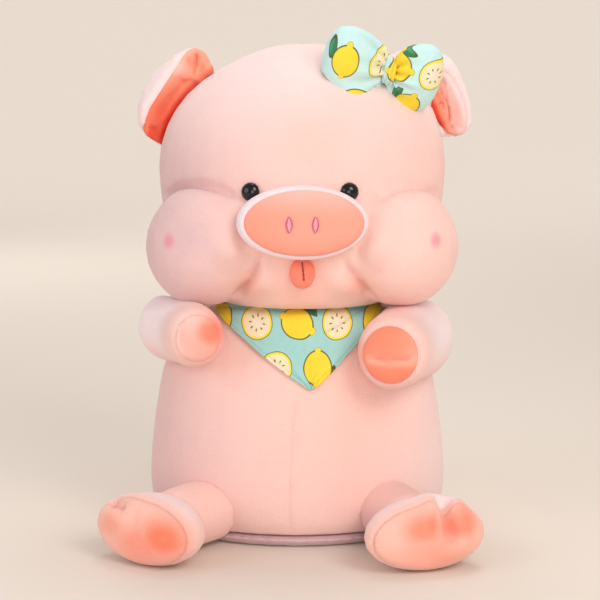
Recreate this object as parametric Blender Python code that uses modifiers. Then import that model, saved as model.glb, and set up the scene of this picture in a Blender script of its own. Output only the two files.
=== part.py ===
"""A seated plush pig with puffy cheeks, a cloth bow and a neck scarf.

Metres, +Z up. The pig faces -Y and sits on the plane z = 0; its own left side is at +X.
Every stuffed piece is one form, cut to fit the larger piece that it is sewn to.
"""
import math

import bmesh
import bpy
from mathutils import Matrix, Vector

# Clearances
sewn_gap = 0.00035
slice_gap = 0.0003
cut_overrun = 0.02
cutter_width_share = 3.0

# Body
neck_height = 0.2132
body_half_width = 0.1395
body_front = 0.1215
body_back = 0.106
base_panel_height = 0.0105
body_ring_shares = [
    # height, width, front, back
    (-0.06, 0.00, 0.00, 0.00),
    (-0.045, 0.80, 0.80, 0.80),
    (0.045, 0.975, 0.965, 0.97),
    (0.19, 1.02, 1.01, 1.01),
    (0.40, 0.99, 1.01, 1.00),
    (0.60, 0.945, 0.965, 0.94),
    (0.77, 0.89, 0.88, 0.86),
    (0.91, 0.74, 0.74, 0.72),
    (1.00, 0.56, 0.60, 0.58),
    (1.10, 0.47, 0.50, 0.48),
    (1.13, 0.00, 0.00, 0.00),
]

# Head
head_shift = 0.0045
head_height = 0.2305
head_half_width = 0.1335
head_front = 0.1105
head_back = 0.107
head_ring_shares = [
    (-0.05, 0.00, 0.00, 0.00),
    (-0.03, 0.58, 0.78, 0.62),
    (0.07, 0.80, 0.93, 0.82),
    (0.21, 0.92, 0.99, 0.94),
    (0.37, 0.98, 1.02, 1.00),
    (0.53, 1.015, 1.00, 1.01),
    (0.69, 0.975, 0.93, 0.96),
    (0.83, 0.85, 0.79, 0.83),
    (0.94, 0.60, 0.55, 0.59),
    (1.005, 0.25, 0.23, 0.25),
    (1.012, 0.00, 0.00, 0.00),
]
cheek_side_share = 0.655
cheek_forward_share = 0.595
cheek_height_share = 0.235
cheek_half_width = 0.0575
cheek_half_depth = 0.0590
cheek_half_height = 0.0555
cheek_clearance = 0.0012

# Snout
snout_height_share = 0.347
snout_half_width = 0.0572
snout_half_height = 0.0322
snout_reach = 0.0295
snout_root_share = 0.796
snout_disc_thickness = 0.006
snout_band_shares = [
    # how far along, width, height
    (0.00, 0.00, 0.00),
    (0.01, 0.88, 0.88),
    (0.40, 1.01, 1.01),
    (0.70, 1.03, 1.03),
    (0.86, 0.98, 0.97),
    (0.985, 0.84, 0.80),
    (1.00, 0.00, 0.00),
]
nostril_spacing = 0.0225
nostril_half_width = 0.0029
nostril_half_height = 0.0066
nostril_thickness = 0.0016

# Eyes
eye_spacing = 0.086
eye_height_share = 0.4578
eye_shift = 0.0025
eye_radius = 0.0078
eye_dome_height = 0.0062
dome_steps = 5
eye_turn = math.radians(17)
eye_tilt = math.radians(4)
shank_radius = 0.0021
shank_length = 0.016
washer_radius = 0.0085
washer_thickness = 0.0016
washer_depth = 0.0075

# Tongue
tongue_half_width = 0.0138
tongue_length = 0.0270
tongue_thickness = 0.0062
stitch_radius = 0.0015
stitch_sink = 0.0005
stitch_length_share = 0.72

# Ears
ear_side_share = 0.809
ear_height_share = 0.7525
ear_back_share = 0.0935
ear_lean = math.radians(36)
ear_half_length = 0.0530
ear_slide = 0.0060
ear_reach = 0.0485
ear_half_thickness = 0.0165
ear_centre_reach = 0.0035
lining_half_length = 0.0365
lining_reach = 0.0270
lining_half_thickness = 0.0085
lining_forward = 0.0115

# Arms: one form, posed a little differently on each side
arm_length = 0.152
arm_radius = 0.0295
paw_pad_thickness = 0.0085
arm_ring_shares = [
    # how far along, width, height
    (0.00, 0.00, 0.00),
    (0.015, 0.52, 0.52),
    (0.11, 0.94, 0.94),
    (0.27, 1.06, 1.06),
    (0.48, 0.98, 0.98),
    (0.70, 0.90, 0.90),
    (0.88, 0.90, 0.92),
    (0.975, 0.60, 0.62),
    (1.00, 0.00, 0.00),
]
arm_side_shares = {"left": 0.817, "right": 0.835}
arm_left_back = 0.0020
arm_right_back = 0.0050
arm_height_shares = {"left": 0.8372, "right": 0.8795}
arm_yaw = {"left": math.radians(12.5), "right": math.radians(12)}
arm_pitch = {"left": math.radians(1), "right": math.radians(3)}
arm_size_shares = {"left": 1.13, "right": 0.97}

# Legs and feet
hip_side_shares = {"left": 0.5305, "right": 0.459}
hip_forward_share = 0.601
leg_yaw = {"left": math.radians(20), "right": math.radians(38)}
leg_length = 0.084
leg_radius = 0.0290
leg_height = 0.0315
leg_ring_shares = [
    (0.00, 0.00, 0.00),
    (0.02, 0.90, 0.90),
    (0.25, 1.02, 1.02),
    (0.55, 1.01, 1.01),
    (0.85, 0.98, 0.98),
    (0.985, 0.90, 0.90),
    (1.00, 0.00, 0.00),
]
foot_length = 0.056
foot_root_share = 0.25
foot_half_width = 0.0560
foot_half_height = 0.0315
foot_bottom_share = 0.9587
floor_sink = 0.0005
sole_thickness = 0.013
foot_ring_shares = [
    (0.00, 0.00, 0.00),
    (0.02, 0.62, 0.78),
    (0.22, 0.88, 0.96),
    (0.52, 1.05, 1.04),
    (0.80, 1.03, 1.02),
    (0.97, 0.74, 0.76),
    (1.00, 0.00, 0.00),
]
cleft_radius = 0.0065
cleft_length = 0.026

# Bow
bow_side_share = 0.573
bow_forward_share = 0.552
bow_height_share = 0.911
bow_tilt = math.radians(13)
bow_wrap = math.radians(11)
bow_lean = math.radians(31)
bow_left_length = 0.0500
bow_right_length = 0.0560
bow_half_height = 0.0345
bow_half_depth = 0.0205
bow_lobe_shares = [
    (0.00, 0.00, 0.00),
    (0.02, 0.44, 0.50),
    (0.20, 0.86, 0.90),
    (0.50, 1.05, 1.06),
    (0.80, 0.98, 1.00),
    (0.97, 0.60, 0.64),
    (1.00, 0.00, 0.00),
]
knot_half_width = 0.0085
knot_half_depth = 0.0130
knot_half_height = 0.0125
lobe_root_share = 0.5

# Scarf
scarf_half_width_share = 0.566
scarf_arm_clearance = 0.0030
scarf_edge_drop = 0.0010
scarf_drop = 0.0680
scarf_thickness = 0.0024
scarf_band_width = 0.0077
scarf_band_thickness = 0.0030
scarf_tip_shift = 0.0120
scarf_band_share = 0.53

# Tail
tail_height_share = 0.2814
tail_length = 0.040
tail_radius = 0.0095
tail_rise = math.radians(28)
tail_root_depth = 0.012
tail_ring_shares = [
    (0.00, 0.00, 0.00),
    (0.03, 0.80, 0.80),
    (0.35, 1.02, 1.02),
    (0.70, 0.78, 0.78),
    (0.95, 0.42, 0.42),
    (1.00, 0.00, 0.00),
]

# Joint axes
arm_hinge_share = 0.92
arm_hinge_back = 0.004
leg_hinge_reach = 0.031
ear_hinge_reach = 0.0075
tongue_hinge_forward = 0.0005
tail_hinge_out = 0.0035
tail_hinge_rise_share = 2.0

# How finely the forms are drawn
body_points = 18
limb_points = 10
small_points = 10
ear_rings = 7
round_points = 16
sharp_angle = math.radians(40)

sides = {"left": 1.0, "right": -1.0}
up = Vector((0, 0, 1))
forward = Vector((0, -1, 0))

# Places that follow the pieces that carry them
head_base = neck_height + slice_gap
scarf_top = neck_height - scarf_edge_drop
scarf_band_bottom = neck_height - scarf_band_width
cheek_side = head_half_width * cheek_side_share
cheek_forward = head_front * cheek_forward_share
cheek_height = head_base + head_height * cheek_height_share
snout_height = head_base + head_height * snout_height_share
snout_root = head_front * snout_root_share
snout_front = head_front + snout_reach
eye_height = head_base + head_height * eye_height_share
tongue_top = snout_height - snout_half_height
ear_side = head_half_width * ear_side_share
ear_height = head_base + head_height * ear_height_share
ear_back = head_back * ear_back_share
bow_centre = Vector((
    head_shift + head_half_width * bow_side_share,
    -head_front * bow_forward_share,
    head_base + head_height * bow_height_share,
))
tail_height = neck_height * tail_height_share
arm_back = {"left": arm_left_back, "right": arm_right_back}
bow_lobe_length = {"left": bow_left_length, "right": bow_right_length}

plush_pink = (0.965, 0.700, 0.640)
plush_shade = (0.860, 0.640, 0.620)
coral = (1.000, 0.330, 0.210)
snout_coral = (0.960, 0.450, 0.360)
snout_white = (0.960, 0.780, 0.760)
embroidery_pink = (0.900, 0.220, 0.420)
stitch_red = (0.420, 0.030, 0.020)
eye_black = (0.010, 0.010, 0.012)
washer_white = (0.750, 0.750, 0.720)
cloth_aqua = (0.420, 0.780, 0.700)
cloth_yellow = (0.930, 0.640, 0.050)
cloth_roughness = 0.9
gloss_roughness = 0.08


def clear_scene():
    """Remove what the scene holds."""
    for thing in list(bpy.data.objects):
        bpy.data.objects.remove(thing)


def new_collection(name):
    """Add a collection to the scene."""
    collection = bpy.data.collections.new(name)
    bpy.context.scene.collection.children.link(collection)
    return collection


def new_material(name, colour, roughness):
    """A Principled material of one colour."""
    material = bpy.data.materials.new(name)
    material.use_nodes = True
    shader = material.node_tree.nodes["Principled BSDF"]
    shader.inputs["Base Color"].default_value = (*colour, 1.0)
    shader.inputs["Roughness"].default_value = roughness
    shader.inputs["Metallic"].default_value = 0.0
    return material


def finish_object(name, bm, collection, colour, roughness=cloth_roughness):
    """Turn a bmesh into a named, smooth object whose faces point outwards."""
    bmesh.ops.recalc_face_normals(bm, faces=bm.faces)
    if bm.calc_volume(signed=True) < 0:
        bmesh.ops.reverse_faces(bm, faces=bm.faces)
    mesh = bpy.data.meshes.new(name)
    bm.to_mesh(mesh)
    bm.free()
    mesh.shade_smooth()
    piece = bpy.data.objects.new(name, mesh)
    if colour is not None:
        mesh.materials.append(new_material(name, colour, roughness))
    collection.objects.link(piece)
    return piece


def add_rounding(piece):
    """Round a cage with one level of subdivision."""
    rounding = piece.modifiers.new("Rounding", "SUBSURF")
    rounding.levels = 1
    rounding.render_levels = 1
    return piece


def loft(name, stations, points, collection, colour):
    """A soft form: a sphere cage whose rings are moved to the stations (centre, across, upright)."""
    bm = bmesh.new()
    count = len(stations) - 1
    bmesh.ops.create_uvsphere(bm, u_segments=points, v_segments=count, radius=1.0)
    for vertex in bm.verts:
        ring = round(math.acos(max(-1.0, min(1.0, vertex.co.z))) * count / math.pi)
        angle = math.atan2(vertex.co.y, vertex.co.x)
        centre, across, upright = stations[ring]
        vertex.co = centre + across * math.cos(angle) + upright * math.sin(angle)
    return add_rounding(finish_object(name, bm, collection, colour))


def stack_stations(shares, height, half_width, front, back, base, side_shift):
    """Stations of an upright form, whose front and back swell on their own."""
    stations = []
    for level, width, fore, aft in shares:
        ahead = front * fore
        behind = back * aft
        centre = Vector((side_shift, (behind - ahead) / 2, base + height * level))
        stations.append((centre, Vector((half_width * width, 0, 0)), Vector((0, (behind + ahead) / 2, 0))))
    return stations


def limb_stations(shares, start, direction, length, half_width, half_height, lean=0.0):
    """Stations of a form that runs from a start along a direction."""
    run = direction.normalized()
    across = run.cross(up).normalized()
    upright = across.cross(run)
    roll = Matrix.Rotation(lean, 3, run)
    across = roll @ across
    upright = roll @ upright
    return [
        (start + run * (length * along), across * (half_width * width), upright * (half_height * high))
        for along, width, high in shares
    ]


def ball(name, centre, radius, points, collection, colour, rounded=True):
    """A ball of three radii, rounded unless it is very small."""
    bm = bmesh.new()
    bmesh.ops.create_uvsphere(bm, u_segments=points, v_segments=points // 2 + 1, radius=1.0)
    size = Matrix.Diagonal((radius.x, radius.y, radius.z, 1.0))
    bmesh.ops.transform(bm, matrix=Matrix.Translation(centre) @ size, verts=bm.verts)
    piece = finish_object(name, bm, collection, colour)
    return add_rounding(piece) if rounded else piece


def block(name, low, high):
    """A box that cuts."""
    bm = bmesh.new()
    bmesh.ops.create_cube(bm, size=1.0)
    span = high - low
    size = Matrix.Diagonal((span.x, span.y, span.z, 1.0))
    bmesh.ops.transform(bm, matrix=Matrix.Translation((low + high) / 2) @ size, verts=bm.verts)
    return as_cutter(finish_object(name, bm, cutters, None))


def rod(name, centre, direction, radius, length, collection, colour):
    """A cylinder that is centred on a point and runs along a direction."""
    bm = bmesh.new()
    bmesh.ops.create_cone(
        bm, cap_ends=True, segments=round_points, radius1=radius, radius2=radius, depth=length
    )
    turn = up.rotation_difference(direction).to_matrix().to_4x4()
    bmesh.ops.transform(bm, matrix=Matrix.Translation(centre) @ turn, verts=bm.verts)
    piece = finish_object(name, bm, collection, colour)
    piece.data.set_sharp_from_angle(angle=sharp_angle)
    return piece


def as_cutter(piece):
    """Mark an object as a cutter."""
    piece.hide_render = True
    piece.display_type = "WIRE"
    return piece


def grown(piece, amount, name, rounded=True):
    """A cutter of a soft piece's own form, grown by an even amount."""
    copy = bpy.data.objects.new(name, piece.data.copy())
    cutters.objects.link(copy)
    if rounded:
        add_rounding(copy)
    swell = copy.modifiers.new("Clearance", "DISPLACE")
    swell.strength = amount
    swell.mid_level = 0.0
    swell.direction = "NORMAL"
    return as_cutter(copy)


def cut(piece, cutter, operation="DIFFERENCE"):
    """Cut one piece by another."""
    boolean = piece.modifiers.new("Cut by " + cutter.name, "BOOLEAN")
    boolean.operation = operation
    boolean.object = cutter
    return piece


def slab(name, centre, normal, thickness, width):
    """A square slab whose back face passes through a point; it cuts what lies in front."""
    bm = bmesh.new()
    bmesh.ops.create_cube(bm, size=1.0)
    size = Matrix.Diagonal((width, width, thickness, 1.0))
    turn = up.rotation_difference(normal).to_matrix().to_4x4()
    middle = centre + normal.normalized() * (thickness / 2)
    bmesh.ops.transform(bm, matrix=Matrix.Translation(middle) @ turn @ size, verts=bm.verts)
    return as_cutter(finish_object(name, bm, cutters, None))


def hinge(name, place, pieces):
    """An empty on a joint's axis, which carries the pieces that turn about it."""
    carrier = bpy.data.objects.new(name, None)
    carrier.location = place
    parts.objects.link(carrier)
    for piece in pieces:
        piece.parent = carrier
        piece.matrix_parent_inverse = Matrix.Translation(place).inverted()
    return carrier


def make_body():
    """The pear-shaped body and the base panel sewn into its underside."""
    stations = stack_stations(
        body_ring_shares, neck_height, body_half_width, body_front, body_back, 0.0, 0.0
    )
    body = loft("body", stations, body_points, parts, plush_pink)
    base = loft("base_panel", stations, body_points, parts, plush_shade)
    reach = body_half_width + body_front + body_back
    below = block(
        "under_base_seam", Vector((-reach, -reach, -neck_height)), Vector((reach, reach, base_panel_height))
    )
    above = block(
        "over_base_seam",
        Vector((-reach, -reach, base_panel_height - slice_gap)),
        Vector((reach, reach, neck_height + neck_height)),
    )
    floor = block("under_floor", Vector((-reach, -reach, -neck_height)), Vector((reach, reach, 0.0)))
    over_neck = block(
        "over_neck", Vector((-reach, -reach, neck_height)), Vector((reach, reach, neck_height + neck_height))
    )
    cut(body, below)
    cut(body, over_neck)
    cut(base, above)
    cut(base, floor)
    return body, floor


def make_scarf(body):
    """The scarf: a band round the neck and the flap that hangs on the chest."""
    neck_across = body_half_width * scarf_band_share
    neck_front = body_front * scarf_band_share
    neck_back = body_back * scarf_band_share
    middle = Vector((0, (neck_back - neck_front) / 2, (scarf_band_bottom + neck_height) / 2))
    radii = Vector((neck_across, (neck_back + neck_front) / 2, 1.0))
    tall = neck_height - scarf_band_bottom

    def neck_tube(name, extra, height, collection, colour):
        bm = bmesh.new()
        bmesh.ops.create_cone(
            bm, cap_ends=True, segments=body_points + body_points, radius1=1.0, radius2=1.0, depth=1.0
        )
        size = Matrix.Diagonal((radii.x + extra, radii.y + extra, height, 1.0))
        bmesh.ops.transform(bm, matrix=Matrix.Translation(middle) @ size, verts=bm.verts)
        return finish_object(name, bm, collection, colour)

    band = neck_tube("scarf_band", scarf_band_thickness, tall - slice_gap, parts, cloth_aqua)
    bore = as_cutter(neck_tube("scarf_bore", 0.0, tall + cut_overrun, cutters, None))
    cut(band, bore)
    stub = as_cutter(neck_tube("neck_stub", -slice_gap, tall + cut_overrun, cutters, None))
    around = block(
        "round_neck",
        Vector((-body_half_width, -body_front, scarf_band_bottom - slice_gap)),
        Vector((body_half_width, body_back, neck_height + cut_overrun)),
    )
    cut(around, stub)
    cut(body, around)

    half_width = body_half_width * scarf_half_width_share
    bm = bmesh.new()
    bmesh.ops.create_circle(bm, cap_ends=True, segments=3, radius=1.0)
    corners = [
        Vector((-half_width, 0, scarf_top)),
        Vector((half_width, 0, scarf_top)),
        Vector((scarf_tip_shift, 0, scarf_top - scarf_drop)),
    ]
    bm.verts.ensure_lookup_table()
    for vertex, corner in zip(bm.verts, corners):
        vertex.co = corner
    drawn = bmesh.ops.extrude_face_region(bm, geom=list(bm.faces))
    moved = [item for item in drawn["geom"] if isinstance(item, bmesh.types.BMVert)]
    bmesh.ops.translate(bm, verts=moved, vec=forward * (body_front + cut_overrun))
    flap = finish_object("scarf_flap", bm, parts, cloth_aqua)
    cut(flap, grown(body, scarf_thickness, "chest_outer"), "INTERSECT")
    cut(flap, grown(body, sewn_gap, "chest_inner"))
    return flap


def make_head():
    """The head with its two stuffed cheeks."""
    stations = stack_stations(
        head_ring_shares, head_height, head_half_width, head_front, head_back, head_base, head_shift
    )
    head = loft("head", stations, body_points, parts, plush_pink)
    reach = head_half_width + head_front
    under = block("under_head", Vector((-reach, -reach, 0.0)), Vector((reach, reach, head_base)))
    cut(head, under)
    head_form = grown(head, sewn_gap, "head_form")
    cheeks = {}
    for side, sign in sides.items():
        centre = Vector((head_shift + sign * cheek_side, -cheek_forward, cheek_height))
        radius = Vector((cheek_half_width, cheek_half_depth, cheek_half_height))
        cheek = ball("cheek_" + side, centre, radius, limb_points, parts, plush_pink)
        cut(cheek, head_form)
        cheeks[side] = cheek
    hinge("head_hinge", Vector((0, 0, neck_height)), [head, *cheeks.values()])
    return head, head_form


def make_snout(head_form):
    """The snout: a pale band, a coral disc in front of it and two embroidered nostrils."""
    start = Vector((head_shift, -snout_root, snout_height))
    length = snout_front - snout_root

    def snout_form(name, collection, colour):
        stations = limb_stations(
            snout_band_shares, start, forward, length, snout_half_width, snout_half_height
        )
        return loft(name, stations, body_points, collection, colour)

    band = snout_form("snout_band", parts, snout_white)
    disc = snout_form("snout_disc", parts, snout_coral)
    seam = Vector((head_shift, -(snout_front - snout_disc_thickness), snout_height))
    wide = snout_half_width * cutter_width_share
    cut(band, head_form)
    cut(band, slab("before_disc_seam", seam, forward, wide, wide))
    cut(disc, slab("behind_disc_seam", seam + forward * slice_gap, -forward, wide, wide))
    disc_front = Vector((head_shift, -snout_front, snout_height))
    disc_form = grown(disc, sewn_gap, "disc_form")
    for side, sign in sides.items():
        centre = disc_front + Vector((sign * nostril_spacing / 2, 0, 0))
        radius = Vector((nostril_half_width, nostril_thickness, nostril_half_height))
        nostril = ball(
            "nostril_" + side, centre, radius, small_points, parts, embroidery_pink, rounded=False
        )
        cut(nostril, disc_form)
    return band


def face_depth(side_offset, height):
    """How far forward the head's face lies at a place, read between its rings."""
    level = (height - neck_height) / head_height
    for (low, _, fore, _), (high, _, next_fore, _) in zip(head_ring_shares, head_ring_shares[1:]):
        if low <= level <= high:
            reach = fore + (next_fore - fore) * (level - low) / (high - low)
            return head_front * reach * math.cos(math.asin(side_offset / head_half_width))
    raise ValueError("the place lies above or below the head")


def turned(name, profile, centre, direction, collection, colour, roughness):
    """A turned piece: a profile of (radius, height) points, from its top down, spun about its axis."""
    mesh = bpy.data.meshes.new(name)
    mesh.from_pydata(
        [(radius, 0, height) for radius, height in profile],
        [(index, index + 1) for index in range(len(profile) - 1)],
        [],
    )
    piece = bpy.data.objects.new(name, mesh)
    piece.rotation_mode = "QUATERNION"
    piece.rotation_quaternion = up.rotation_difference(direction)
    piece.location = centre
    collection.objects.link(piece)
    spin = piece.modifiers.new("Turn", "SCREW")
    spin.steps = round_points
    spin.render_steps = round_points
    spin.use_merge_vertices = True
    spin.merge_threshold = slice_gap / round_points
    if colour is not None:
        mesh.materials.append(new_material(name, colour, roughness))
    return piece


def make_eyes(head, snout_band):
    """Safety eyes: a dome on a shank through the head's skin and a washer locked on behind it."""
    arcs = [math.pi / 2 * step / dome_steps for step in range(dome_steps + 1)]
    dome = [(eye_radius * math.sin(arc), eye_dome_height * math.cos(arc)) for arc in arcs]
    dome[0] = (0, eye_dome_height)
    profile = dome + [(shank_radius, 0), (shank_radius, -shank_length), (0, -shank_length)]
    for side, sign in sides.items():
        out = Matrix.Rotation(sign * eye_turn, 3, "Z") @ (Matrix.Rotation(-eye_tilt, 3, "X") @ forward)
        offset = sign * eye_spacing / 2
        seat = Vector((eye_shift + offset, -face_depth(offset, eye_height), eye_height))
        turned("eye_" + side, profile, seat, out, parts, eye_black, gloss_roughness)
        washer_centre = seat - out * washer_depth
        washer = rod(
            "eye_washer_" + side, washer_centre, out, washer_radius, washer_thickness, parts, washer_white,
        )
        washer_bore = rod(
            "washer_bore_" + side, washer_centre, out, shank_radius + slice_gap,
            washer_thickness + cut_overrun, cutters, None,
        )
        cut(washer, as_cutter(washer_bore))
        hole = rod(
            "shank_hole_" + side, seat - out * (shank_length / 2), out, shank_radius + slice_gap,
            shank_length + slice_gap * 2, cutters, None,
        )
        pocket = rod(
            "washer_pocket_" + side, washer_centre, out, washer_radius + slice_gap,
            washer_thickness + slice_gap * 2, cutters, None,
        )
        sunk = rod(
            "dome_seat_" + side, seat + out * (eye_radius / 2 - slice_gap), out, eye_radius + slice_gap,
            eye_radius, cutters, None,
        )
        cut(head, as_cutter(hole))
        cut(head, as_cutter(pocket))
        cut(head, as_cutter(sunk))
        cut(snout_band, sunk)


def make_tongue(head_form):
    """The tongue: a small stuffed tab under the snout, with one stitched line."""
    root = Vector((head_shift, -face_depth(0.0, tongue_top), tongue_top))
    middle = root + Vector((0, 0, -tongue_length / 2))
    radius = Vector((tongue_half_width, tongue_thickness, tongue_length / 2))
    tongue = ball("tongue", middle, radius, small_points, parts, coral)
    cut(tongue, head_form)
    tongue_form = grown(tongue, sewn_gap, "tongue_form")
    stitch = rod(
        "tongue_stitch", middle + forward * (tongue_thickness - stitch_sink), up, stitch_radius,
        tongue_length * stitch_length_share, parts, stitch_red,
    )
    cut(stitch, tongue_form)
    front = root + forward * (tongue_thickness + tongue_hinge_forward)
    hinge("tongue_hinge", front, [tongue, stitch])


def make_ears(head_form):
    """The ears: a pale outer pad with a coral lining in front."""
    for side, sign in sides.items():
        along = Vector((-sign * math.sin(ear_lean), 0, math.cos(ear_lean)))
        outward = Vector((sign * math.cos(ear_lean), 0, math.sin(ear_lean)))
        root = Vector((head_shift + sign * ear_side, ear_back, ear_height))

        def pad(name, centre, half_length, reach, half_thickness, collection, colour):
            bm = bmesh.new()
            bmesh.ops.create_uvsphere(bm, u_segments=limb_points, v_segments=ear_rings, radius=1.0)
            axes = Matrix((along, outward, forward)).transposed().to_4x4()
            size = Matrix.Diagonal((half_length, reach, half_thickness, 1.0))
            bmesh.ops.transform(bm, matrix=Matrix.Translation(centre) @ axes @ size, verts=bm.verts)
            return add_rounding(finish_object(name, bm, collection, colour))

        centre = root + outward * ear_centre_reach + along * ear_slide
        ear = pad(
            "ear_" + side, centre, ear_half_length, ear_reach, ear_half_thickness, parts, plush_pink
        )
        inner = root + forward * lining_forward
        lining = pad(
            "ear_lining_" + side, inner, lining_half_length, lining_reach, lining_half_thickness,
            parts, coral,
        )
        cut(ear, head_form)
        cut(ear, grown(lining, sewn_gap, "lining_form_" + side))
        cut(lining, head_form)
        behind = root - forward * ear_half_thickness + outward * ear_hinge_reach
        hinge("ear_hinge_" + side, behind, [ear, lining])


def cheek_sweep(side, sign):
    """A cutter: the ring that a cheek passes through when the head turns."""
    bpy.ops.mesh.primitive_torus_add(
        major_radius=math.hypot(head_shift + sign * cheek_side, cheek_forward),
        minor_radius=cheek_half_height + cheek_clearance,
        major_segments=body_points * 2, minor_segments=body_points, location=(0, 0, cheek_height),
    )
    ring = bpy.context.object
    ring.name = "cheek_sweep_" + side
    for home in list(ring.users_collection):
        home.objects.unlink(ring)
    cutters.objects.link(ring)
    return as_cutter(ring)


def make_arms(body_form, flap):
    """The arms: each a tapering form with a coral pad sewn on its end."""
    for side, sign in sides.items():
        sweep = cheek_sweep(side, sign)
        cut(flap, sweep)
        root = Vector((
            sign * body_half_width * arm_side_shares[side],
            arm_back[side],
            neck_height * arm_height_shares[side],
        ))
        yaw = arm_yaw[side]
        pitch = arm_pitch[side]
        run = Vector((-sign * math.sin(yaw), -math.cos(yaw) * math.cos(pitch), math.sin(pitch))).normalized()
        length = arm_length
        radius = arm_radius * arm_size_shares[side]
        stations = limb_stations(arm_ring_shares, root, run, length, radius, radius)
        arm = loft("arm_" + side, stations, limb_points, parts, plush_pink)
        pad = loft("paw_pad_" + side, stations, limb_points, parts, coral)
        seam = root + run * (length - paw_pad_thickness)
        wide = arm_radius * arm_size_shares[side] * cutter_width_share
        cut(flap, grown(arm, scarf_arm_clearance, "arm_room_" + side))
        cut(arm, body_form)
        cut(arm, sweep)
        cut(arm, slab("before_pad_" + side, seam, run, length, wide))
        cut(pad, slab("behind_pad_" + side, seam + run * slice_gap, -run, length, wide))
        behind = Vector((sign * body_half_width * arm_hinge_share, root.y + arm_hinge_back, root.z))
        hinge("arm_hinge_" + side, behind, [arm, pad])


def make_legs(body_form, floor):
    """The legs: each a short tube with a broad cloven foot on its end and a sole panel in front."""
    for side, sign in sides.items():
        yaw = leg_yaw[side]
        run = Vector((sign * math.sin(yaw), -math.cos(yaw), 0))
        hip = Vector((
            sign * body_half_width * hip_side_shares[side], -body_front * hip_forward_share, leg_height
        ))
        stations = limb_stations(leg_ring_shares, hip, run, leg_length, leg_radius, leg_radius)
        leg = loft("leg_" + side, stations, limb_points, parts, plush_pink)
        cut(leg, body_form)
        ankle = hip + run * (leg_length - foot_length * foot_root_share)
        heel = Vector((ankle.x, ankle.y, foot_half_height * foot_bottom_share - floor_sink))
        foot_stations = limb_stations(
            foot_ring_shares, heel, run, foot_length, foot_half_width, foot_half_height
        )
        foot = loft("foot_" + side, foot_stations, limb_points, parts, plush_pink)
        sole = loft("sole_" + side, foot_stations, limb_points, parts, snout_coral)
        seam = heel + run * (foot_length - sole_thickness)
        wide = foot_half_width * cutter_width_share
        cut(foot, slab("before_sole_" + side, seam, run, wide, wide))
        cut(sole, slab("behind_sole_" + side, seam + run * slice_gap, -run, wide, wide))
        cleft = rod(
            "cleft_" + side, heel + run * foot_length + up * foot_half_height, up, cleft_radius,
            cleft_length * 2, cutters, None,
        )
        cut(foot, as_cutter(cleft))
        cut(sole, cleft)
        cut(foot, floor)
        cut(sole, floor)
        cut(leg, grown(foot, sewn_gap, "foot_form_" + side))
        hinge("hip_hinge_" + side, hip + run * leg_hinge_reach + up * leg_radius, [leg, foot, sole])


def make_bow(head_form):
    """The bow: two stuffed lobes and the gathered knot between them."""
    radius = Vector((knot_half_width, knot_half_depth, knot_half_height))
    knot = ball("bow_knot", bow_centre, radius, small_points, parts, cloth_yellow, rounded=False)
    cut(knot, head_form)
    knot_form = grown(knot, sewn_gap, "knot_form", rounded=False)
    for side, sign in sides.items():
        level_run = math.cos(bow_tilt)
        run = sign * Vector(
            (level_run * math.cos(bow_wrap), level_run * math.sin(bow_wrap), -math.sin(bow_tilt))
        )
        stations = limb_stations(
            bow_lobe_shares, bow_centre + run * (knot_half_width * lobe_root_share), run,
            bow_lobe_length[side], bow_half_depth, bow_half_height, lean=sign * bow_lean,
        )
        lobe = loft("bow_lobe_" + side, stations, limb_points, parts, cloth_aqua)
        cut(lobe, head_form)
        cut(lobe, knot_form)


def make_tail(body_form):
    """The tail: a small stuffed stub at the back."""
    start = Vector((0, body_back - tail_root_depth, tail_height))
    run = Vector((0, math.cos(tail_rise), math.sin(tail_rise)))
    stations = limb_stations(
        tail_ring_shares, start, run, tail_length + tail_root_depth, tail_radius, tail_radius
    )
    tail = loft("tail", stations, small_points, parts, plush_pink)
    cut(tail, body_form)
    over_root = tail_height + tail_radius * tail_hinge_rise_share
    hinge("tail_hinge", Vector((0, body_back + tail_hinge_out, over_root)), [tail])


clear_scene()
parts = new_collection("plush_pig")
cutters = new_collection("cutters")
torso, floor_block = make_body()
torso_form = grown(torso, sewn_gap, "torso_form")
scarf = make_scarf(torso)
skull, skull_form = make_head()
muzzle = make_snout(skull_form)
make_eyes(skull, muzzle)
make_tongue(skull_form)
make_ears(skull_form)
make_arms(torso_form, scarf)
make_legs(torso_form, floor_block)
make_bow(skull_form)
make_tail(torso_form)
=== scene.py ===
"""A seated plush pig: the looks of every piece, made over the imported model, laid out as an add-on."""

import math

import bmesh
import bpy
import numpy as np
from mathutils import Matrix, Vector
from mathutils.bvhtree import BVHTree


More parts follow.
